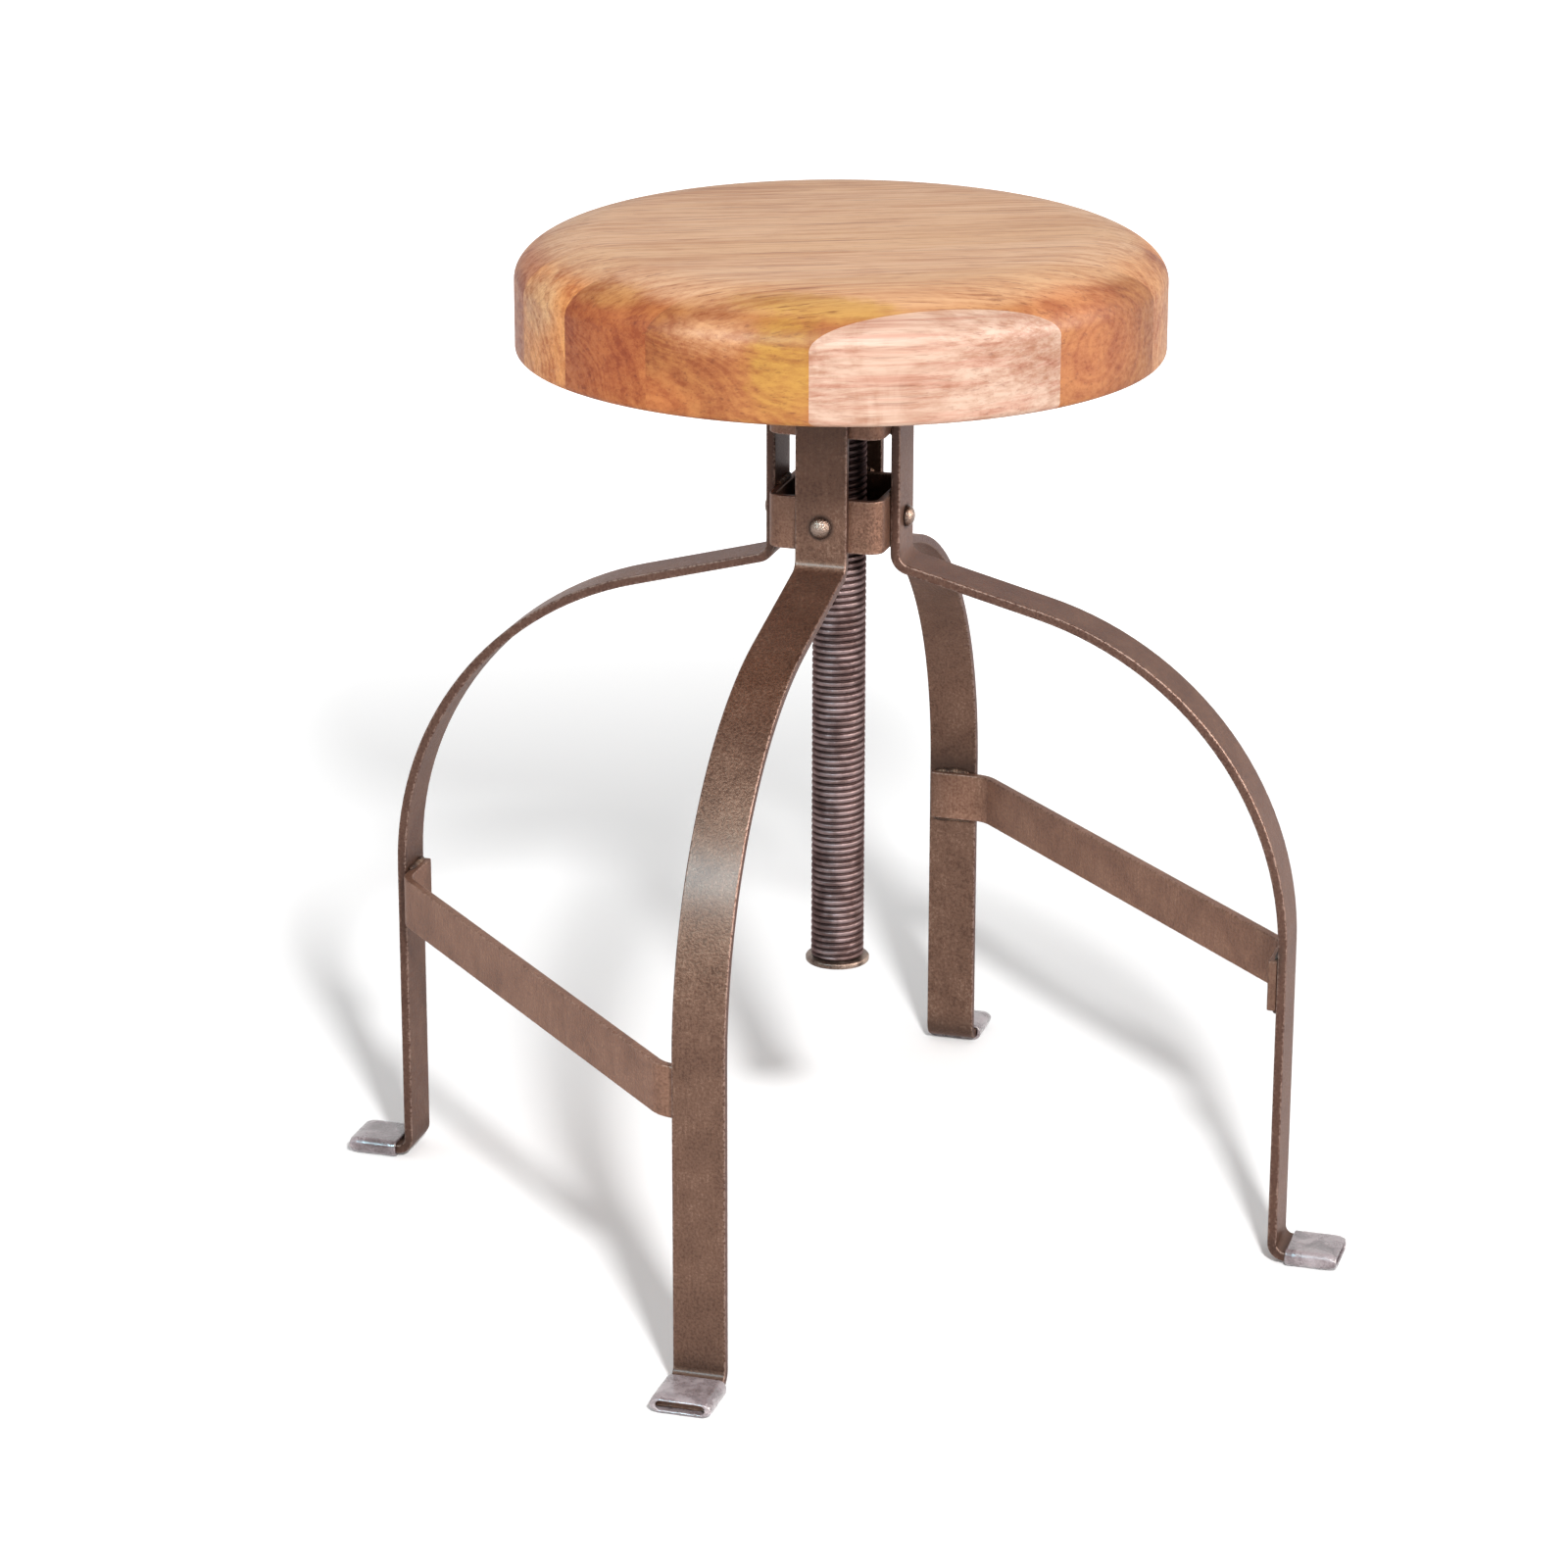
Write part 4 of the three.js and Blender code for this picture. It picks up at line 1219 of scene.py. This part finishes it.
# %% Turn the seat
ROUND_REACH, ROUND_DROP, UNDER_RADIUS = 0.048, 0.024, 0.003
seat_radius = (seat_high.y - seat_low.y) / 2
thick = seat_high.z - seat_low.z
seat_profile = (
    [(r, 0.0) for r in np.linspace(0.003, seat_radius - UNDER_RADIUS - 0.004, 8)]
    + quarter((seat_radius - UNDER_RADIUS, UNDER_RADIUS), (UNDER_RADIUS,) * 2, -90, 0, 6)
    + [(seat_radius, z) for z in np.linspace(UNDER_RADIUS, thick - ROUND_DROP, 9)[1:-1]]
    + quarter((seat_radius - ROUND_REACH, thick - ROUND_DROP), (ROUND_REACH, ROUND_DROP), 0, 90, 30)
    + [(r, thick) for r in np.linspace(seat_radius - ROUND_REACH - 0.006, 0.003, 9)]
)
SEAT_COLUMNS = 192
seat_outlines = turned(np.array(seat_profile) + [0, seat_low.z], SEAT_COLUMNS)
print("seat", round(seat_radius * 1000, 1), "mm radius,", round(thick * 1000, 1), "mm thick")


# %% [markdown]
# ## Wood
# The seat is glued from planks about 52 mm wide, and each plank brought its own colour and its own
# growth rings. Counting joints across the planks gives every point the number of its plank, and a
# ramp with flat steps gives each number its own value.

# %% Number the planks
GRAIN_TURN = math.radians(33.3)
RUN_OUT = math.radians(9)  # how far the fibres stray from the edges of the planks
PLANK = 0.052
FIRST_JOINT = 0.001
PLANKS = 8
PLANK_SHIFT = 0.37


def plank_values(tree, number, values):
    """One grey or colour for each plank, held constant across it."""
    stops = [(k / PLANKS, value) for k, value in enumerate(values)]
    middle = calc(tree, "DIVIDE", calc(tree, "ADD", number, 0.5), PLANKS)
    return ramp(tree, middle, stops, "CONSTANT")


def grey(value):
    return (value, value, value, 1.0)


def plank_lengths(tree, number, millimetres):
    """One length for each plank, between -150 and 150 mm, kept as a grey between 0 and 1 and
    turned back into metres."""
    level = plank_values(tree, number, [grey(v / 300 + 0.5) for v in millimetres])
    return calc(tree, "MULTIPLY_ADD", level, 0.3, -0.15)


def plank_places(tree, place):
    """For a point: the distance along the planks, the height, the plank's number, the distance into
    it, and a place along the fibres that is moved on by each plank's number, so that no two planks
    share a pattern."""
    x, y, z = parts(tree, stretched(tree, place, (1, 1, 1), (0, 0, -GRAIN_TURN)))
    fibres = stretched(tree, place, (1, 1, 1), (0, 0, -GRAIN_TURN + RUN_OUT))
    from_joint = calc(tree, "SUBTRACT", calc(tree, "MULTIPLY", y, -1.0), FIRST_JOINT)
    planks_off = calc(tree, "DIVIDE", from_joint, PLANK)
    number = calc(tree, "ADD", calc(tree, "FLOOR", planks_off), PLANKS / 2)
    into = calc(tree, "MULTIPLY", calc(tree, "FRACT", planks_off), PLANK)
    own = calc(tree, "MULTIPLY", number, PLANK_SHIFT)
    own_fibres = add_node(
        tree, "ShaderNodeVectorMath",
        {0: fibres, 1: add_node(tree, "ShaderNodeCombineXYZ", {0: own, 2: own}).outputs[0]},
        operation="ADD",
    ).outputs[0]
    return x, z, number, into, own_fibres


print(PLANKS, "planks", PLANK * 1000, "mm wide")

# %% [markdown]
# ## Rings and fibres
# Growth rings are nested cylinders round each plank's pith, so a pattern in space gives straight
# lines on top, arcs on end grain and long figures on a side face without any unwrapping.

# %% Grow the rings
PITH_DEPTHS = (20, 40, 70, 80, 20, -30, 16, -60)  # mm into each plank
PITH_HEIGHTS = (-90, -70, -110, -60, 20, -20, 11, -140)  # mm above the seat's foot
PITH_LEAN, PITH_CLIMB = 0.24, 0.17  # how far the pith strays along the plank
RING_WOBBLE = 0.028
RINGS_PER_METRE = 240.0


def growth_rings(tree, x, z, number, into, own_fibres):
    """Age = distance to the plank's pith * rings per metre + a number for each plank, where the
    distance is the root of the squares of the offsets in depth and height, both wobbled. The rings
    are noise along the age."""
    wobble = add_node(
        tree, "ShaderNodeTexNoise",
        {"Vector": stretched(tree, own_fibres, (5, 20, 20)), "Scale": 1.0, "Detail": 2.0,
         "Roughness": 0.6},
    ).outputs["Color"]
    _, wobble_y, wobble_z = parts(tree, wobble)
    height = calc(tree, "SUBTRACT", z, seat_low.z)
    square = 0.0
    for from_edge, lean, millimetres, shake in (
        (into, PITH_LEAN, PITH_DEPTHS, wobble_y), (height, PITH_CLIMB, PITH_HEIGHTS, wobble_z),
    ):
        pith = calc(tree, "MULTIPLY_ADD", x, lean, plank_lengths(tree, number, millimetres))
        off = calc(tree, "SUBTRACT", from_edge, pith)
        off = calc(tree, "MULTIPLY_ADD", calc(tree, "SUBTRACT", shake, 0.5), RING_WOBBLE, off)
        square = calc(tree, "MULTIPLY_ADD", off, off, square)
    own_age = calc(tree, "MULTIPLY", number, 13.7)
    age = calc(tree, "MULTIPLY_ADD", calc(tree, "SQRT", square), RINGS_PER_METRE, own_age)
    rings = add_node(
        tree, "ShaderNodeTexNoise", {"W": age, "Scale": 1.0, "Detail": 2.0, "Roughness": 0.6},
        noise_dimensions="1D",
    ).outputs["Fac"]
    return remap(tree, rings, 0.36, 0.66)


print("about", round(1000 / RINGS_PER_METRE, 1), "mm from ring to ring")


# %% [markdown]
# Fibres, hair lines, bands, pores and patches all run along the grain. Each is the same noise,
# squeezed across the fibres by its own amount and cut at its own level, so a table holds them.

# %% Lay the fibres
GRAIN_MARKS = {  # squeeze along and across, detail, roughness, level where it starts and is full
    "fibre": ((11, 360, 360), 4.0, 0.7, 0.36, 0.66),
    "hairs": ((8, 520, 520), 3.0, 0.6, 0.56, 0.7),
    "bands": ((2.2, 70, 90), 5.0, 0.62, 0.38, 0.66),
    "pores": ((70, 1300, 1300), 2.0, 0.5, 0.6, 0.72),
    "patches": ((7, 120, 330), 5.0, 0.68, 0.44, 0.64),
}


def grain_marks(tree, own_fibres):
    """One mask for each row of the table, under its name."""
    marks = {}
    for name, (squeeze, detail, roughness, low, high) in GRAIN_MARKS.items():
        pattern = noise(tree, stretched(tree, own_fibres, squeeze), 1.0, detail, roughness)
        marks[name] = remap(tree, pattern, low, high)
    return marks


print("marks along the grain:", list(GRAIN_MARKS))

# %% [markdown]
# ## Stains
# Oil, heartwood and the odd pale streak make patches on the rim that belong to one plank each. They
# stop dead at a joint, which is what shows that the seat is glued up.

# %% List the colours
TOP_COLOURS = [
    (172, 123, 87), (193, 149, 112), (198, 155, 119), (202, 159, 122), (199, 155, 116),
    (203, 160, 123), (199, 154, 113), (204, 169, 142),
]
SIDE_COLOURS = [
    (196, 140, 98), (196, 140, 98), (198, 138, 92), (184, 118, 76), (216, 150, 88),
    (174, 109, 57), (160, 102, 53), (182, 153, 134),
]
PALE_PLANK = 7.0
# Stains and figures on the rim: centre and radii in millimetres, with heights from the seat's foot,
# then raggedness, softness, strength, plank and colour.
STAINS = [
    ((-92, -142, 26), (46, 46, 30), 0.7, 0.45, 0.75, 5, tint(160, 86, 44)),
    ((-60, -158, 8), (30, 26, 12), 0.9, 0.5, 0.6, 6, tint(182, 108, 58)),
    ((-19, -168, 44), (20, 14, 9), 1.1, 0.7, 0.4, 6, tint(214, 172, 130)),
    ((21, -169, 32), (19, 16, 26), 0.9, 0.35, 0.95, 6, tint(166, 122, 50)),
    ((18, -169, 6), (16, 14, 16), 1.0, 0.5, 0.45, 6, tint(168, 116, 54)),
    ((40, -150, 57), (50, 14, 6), 0.8, 0.4, 0.9, 6, tint(178, 134, 68)),
    ((-83, -138, 53), (26, 20, 5), 0.9, 0.5, 0.7, 5, tint(184, 132, 72)),
    ((155, -69, 24), (26, 34, 22), 0.7, 0.5, 0.65, 6, tint(172, 104, 60)),
    ((150, -84, 52), (30, 34, 7), 0.8, 0.5, 0.5, 6, tint(196, 128, 84)),
    ((170, -8, 30), (30, 40, 40), 0.4, 0.3, 0.8, 5, tint(204, 150, 102)),
    ((-128, -112, 40), (20, 20, 16), 0.9, 0.5, 0.7, 4, tint(212, 172, 128)),
]


def stained(tree, place, number, colour):
    """Blends each stain in turn into a colour: its patch, on its own plank, times its strength."""
    for centre, radii, ragged, soft, strength, plank, shade in STAINS:
        lifted = (centre[0] / 1000, centre[1] / 1000, centre[2] / 1000 + seat_low.z)
        mask = use_group(tree, patch, Vector=place, Centre=lifted,
                         Radii=tuple(r / 1000 for r in radii), Ragged=ragged, Softness=soft)["Mask"]
        own_plank = calc(tree, "COMPARE", number, float(plank), 0.4)
        mask = calc(tree, "MULTIPLY", mask, calc(tree, "MULTIPLY", own_plank, strength))
        colour = blend(tree, mask, colour, shade)
    return colour


print(len(STAINS), "stains on", len(SIDE_COLOURS), "planks")

# %% [markdown]
# ## Wood
# On the end grain the oil soaks in deeper, and the wood there is redder and darker than on top. The
# normal tells which is which: level faces are top, and faces square to the fibres are end grain.
# Rings, fibres, bands and blotches then deepen the colour together, and hair lines and pores are
# drawn last.

# %% Mix the wood
def oiled_wood():
    material, tree = new_material("wood_oiled")
    place = object_place(tree)
    x, z, number, into, own_fibres = plank_places(tree, place)
    rings = growth_rings(tree, x, z, number, into, own_fibres)
    marks = grain_marks(tree, own_fibres)
    blotch = remap(tree, noise(tree, place, 24.0, 5.0, 0.62, 0.8), 0.4, 0.62)

    facing = add_node(tree, "ShaderNodeNewGeometry").outputs["Normal"]
    along_grain = add_node(
        tree, "ShaderNodeVectorMath",
        {0: facing, 1: (math.cos(GRAIN_TURN), math.sin(GRAIN_TURN), 0)}, operation="DOT_PRODUCT",
    ).outputs["Value"]
    end_grain = remap(tree, calc(tree, "ABSOLUTE", along_grain), 0.1, 0.5)
    _, _, facing_up = parts(tree, facing)
    top = remap(tree, facing_up, 0.8, 0.97)
    pale_plank = calc(tree, "COMPARE", number, PALE_PLANK, 0.4)

    side_colour = plank_values(tree, number, [tint(*c) for c in SIDE_COLOURS])
    top_colour = plank_values(tree, number, [tint(*c) for c in TOP_COLOURS])
    colour = stained(tree, place, number, blend(tree, top, side_colour, top_colour))
    pinkish = calc(tree, "MULTIPLY", marks["patches"], pale_plank)
    colour = blend(tree, calc(tree, "MULTIPLY", pinkish, 0.6), colour, tint(166, 114, 94))

    dark = calc(tree, "MULTIPLY", rings, calc(tree, "MULTIPLY_ADD", end_grain, 0.22, 0.12))
    dark = calc(tree, "MULTIPLY_ADD", marks["fibre"], 0.45, dark)
    dark = calc(tree, "MULTIPLY_ADD", marks["bands"], 0.34, dark)
    dark = calc(tree, "MULTIPLY_ADD", blotch, calc(tree, "MULTIPLY_ADD", top, -0.32, 0.42), dark)
    deeper = blend(tree, 1.0, colour, tint(200, 160, 134), "MULTIPLY")
    colour = blend(tree, calc(tree, "SUBTRACT", dark, 0.25, clamp=True), colour, deeper)

    hairs = calc(tree, "MULTIPLY", marks["hairs"], 0.7)
    lines = calc(tree, "MAXIMUM", hairs, calc(tree, "MULTIPLY", marks["pores"], 0.5))
    lines = calc(tree, "MULTIPLY", lines, calc(tree, "MULTIPLY_ADD", end_grain, -0.45, 1.0))
    lines = calc(tree, "MULTIPLY", lines, calc(tree, "MULTIPLY_ADD", pale_plank, -0.5, 1.0))
    colour = blend(tree, lines, colour, blend(tree, 1.0, colour, tint(150, 100, 76), "MULTIPLY"))

    rough = calc(tree, "MULTIPLY_ADD", marks["fibre"], 0.14, 0.46)
    height = calc(tree, "MULTIPLY_ADD", marks["fibre"], 0.5, calc(tree, "MULTIPLY", lines, -0.8))
    surface_shader(
        tree, height, 0.00012, 0.5, Base_Color=colour, Roughness=rough, Specular_IOR_Level=0.3,
        Coat_Weight=0.04, Coat_Roughness=0.35,
    )
    return material


wood = oiled_wood()
make_piece("seat_wood", joined(seat_outlines), "seat_and_spindle", "seat_wood", wood, ["seat"])

# %% [markdown]
# ## Floor
# The stool stands on a plain pale floor. To the camera and in reflections it glows with painted
# light that it doesn't throw on the stool, and more so with the distance, so it ends in plain
# white.

# %% Lay the floor
FLOOR_HALF = 16.0
GLOW_CENTRE = (0.4, -0.8, 0)
GLOW_NEAR, GLOW_FAR = (1.15, 0.09), (2.6, 0.85)  # distance and added light


def flat_sheet(name, half):
    mesh = bpy.data.meshes.new(name)
    mesh.from_pydata([(-half, -half, 0), (half, -half, 0), (half, half, 0), (-half, half, 0)], [],
                     [(0, 1, 2, 3)])
    sheet = bpy.data.objects.new(name, mesh)
    bpy.context.scene.collection.objects.link(sheet)
    return sheet


floor = flat_sheet("floor", FLOOR_HALF)
floor_material, floor_tree = new_material("floor_pale")
rays = add_node(floor_tree, "ShaderNodeLightPath").outputs
lift = calc(floor_tree, "MAXIMUM", rays["Is Camera Ray"], rays["Is Glossy Ray"])
away = add_node(
    floor_tree, "ShaderNodeVectorMath", {0: object_place(floor_tree), 1: GLOW_CENTRE},
    operation="DISTANCE",
).outputs["Value"]
# Painted light: the floor's glow, seen by the camera and in reflections, grows with the distance.
floor_glow = remap(floor_tree, away, GLOW_NEAR[0], GLOW_FAR[0], GLOW_NEAR[1], GLOW_FAR[1])
surface_shader(
    floor_tree, Base_Color=(0.9, 0.9, 0.9, 1), Roughness=0.9, Specular_IOR_Level=0.1,
    Emission_Color=(1, 1, 1, 1), Emission_Strength=calc(floor_tree, "MULTIPLY", lift, floor_glow),
)
floor.data.materials.append(floor_material)
print("floor", 2 * FLOOR_HALF, "m square")

# %% [markdown]
# ## Lamps
# A small key lamp stands to the right and throws the seat's shadow to the left and back. Two more
# lamps only draw reflections: one makes the bright patch on the front leg, and a broad one
# brightens the steel's right-hand faces.

# %% Hang the lamps
def seen_from(azimuth, elevation, distance, target=(0, 0, 0)):
    """A place on a sphere round the target. The azimuth goes from -Y towards +X."""
    a, e = math.radians(azimuth), math.radians(elevation)
    offset = np.array([math.cos(e) * math.sin(a), -math.cos(e) * math.cos(a), math.sin(e)])
    return np.array(target) + distance * offset


def aim(thing, place, target, roll=0.0):
    """Puts a lamp or camera at a place, with its -Z towards the target and its Y upwards."""
    way = (Vector(target) - Vector(place)).normalized()
    turn = way.to_track_quat("-Z", "Y").to_matrix().to_4x4()
    thing.matrix_world = Matrix.Translation(Vector(place)) @ turn @ Matrix.Rotation(roll, 4, "Z")


def lamp(name, azimuth, elevation, distance, size, power, target=(0, 0, 0.25)):
    """A round lamp on a sphere round its target, sized in metres and powered in watts."""
    data = bpy.data.lights.new(name, "AREA")
    data.shape = "DISK"
    data.size = size
    data.energy = power
    thing = bpy.data.objects.new(name, data)
    bpy.context.scene.collection.objects.link(thing)
    aim(thing, seen_from(azimuth, elevation, distance, target), target)
    return thing


lamp("key_lamp", 27.1, 37.5, 2.96, 0.3, 95, (0, 0, 0))
side = lamp("side_lamp", 85, 25, 3.0, 1.8, 210)
side.data.color = (1.0, 0.93, 0.86)
glint = lamp("glint_lamp", -23, 36, 3.0, 0.65, 105, (0, -0.217, 0.279))
glint.data.color = (0.52, 0.86, 1.0)
side.visible_diffuse = glint.visible_diffuse = False

# %% [markdown]
# ## Sky
# The room is pale and even, a little brighter overhead. Plain white is what the camera sees behind
# the stool, and a white backdrop behind it is what the steel reflects.

# %% Paint the sky
world = bpy.data.worlds.new("studio")
bpy.context.scene.world = world
world.use_nodes = True
sky = world.node_tree
sky.nodes.clear()
_, backward, upward = parts(sky, add_node(sky, "ShaderNodeTexCoord").outputs["Generated"])
light = ramp(sky, remap(sky, upward, -0.1, 0.9), [(0.0, grey(0.38)), (1.0, grey(0.6))])
sky_path = add_node(sky, "ShaderNodeLightPath")
backdrop = calc(sky, "MULTIPLY", remap(sky, backward, 0.1, 0.6), sky_path.outputs["Is Glossy Ray"])
seen = calc(sky, "MAXIMUM", backdrop, sky_path.outputs["Is Camera Ray"])
sky_colour = blend(sky, seen, light, grey(1.0))
background = add_node(sky, "ShaderNodeBackground", {"Color": sky_colour, "Strength": 1.0})
add_node(sky, "ShaderNodeOutputWorld", {"Surface": background.outputs[0]})
print("sky nodes:", len(sky.nodes))

# %% [markdown]
# ## Camera
# The lens is long and the camera far off, so the legs keep their true proportions.

# %% Set the camera
LENS = 111.0
AZIMUTH, ELEVATION, DISTANCE, ROLL = 16.67, 18.64, 2.612, math.radians(0.1)
LOOK_AT = (-0.0305, 0.0, 0.2406)
camera_data = bpy.data.cameras.new("camera")
camera_data.sensor_width = 36.0
camera_data.lens = LENS
camera_data.clip_end = 100.0
camera = bpy.data.objects.new("camera", camera_data)
bpy.context.scene.collection.objects.link(camera)
aim(camera, seen_from(AZIMUTH, ELEVATION, DISTANCE, LOOK_AT), LOOK_AT, ROLL)
bpy.context.scene.camera = camera
bpy.context.scene.view_settings.view_transform = "Standard"
print("camera at", np.round(camera.matrix_world.translation, 3))
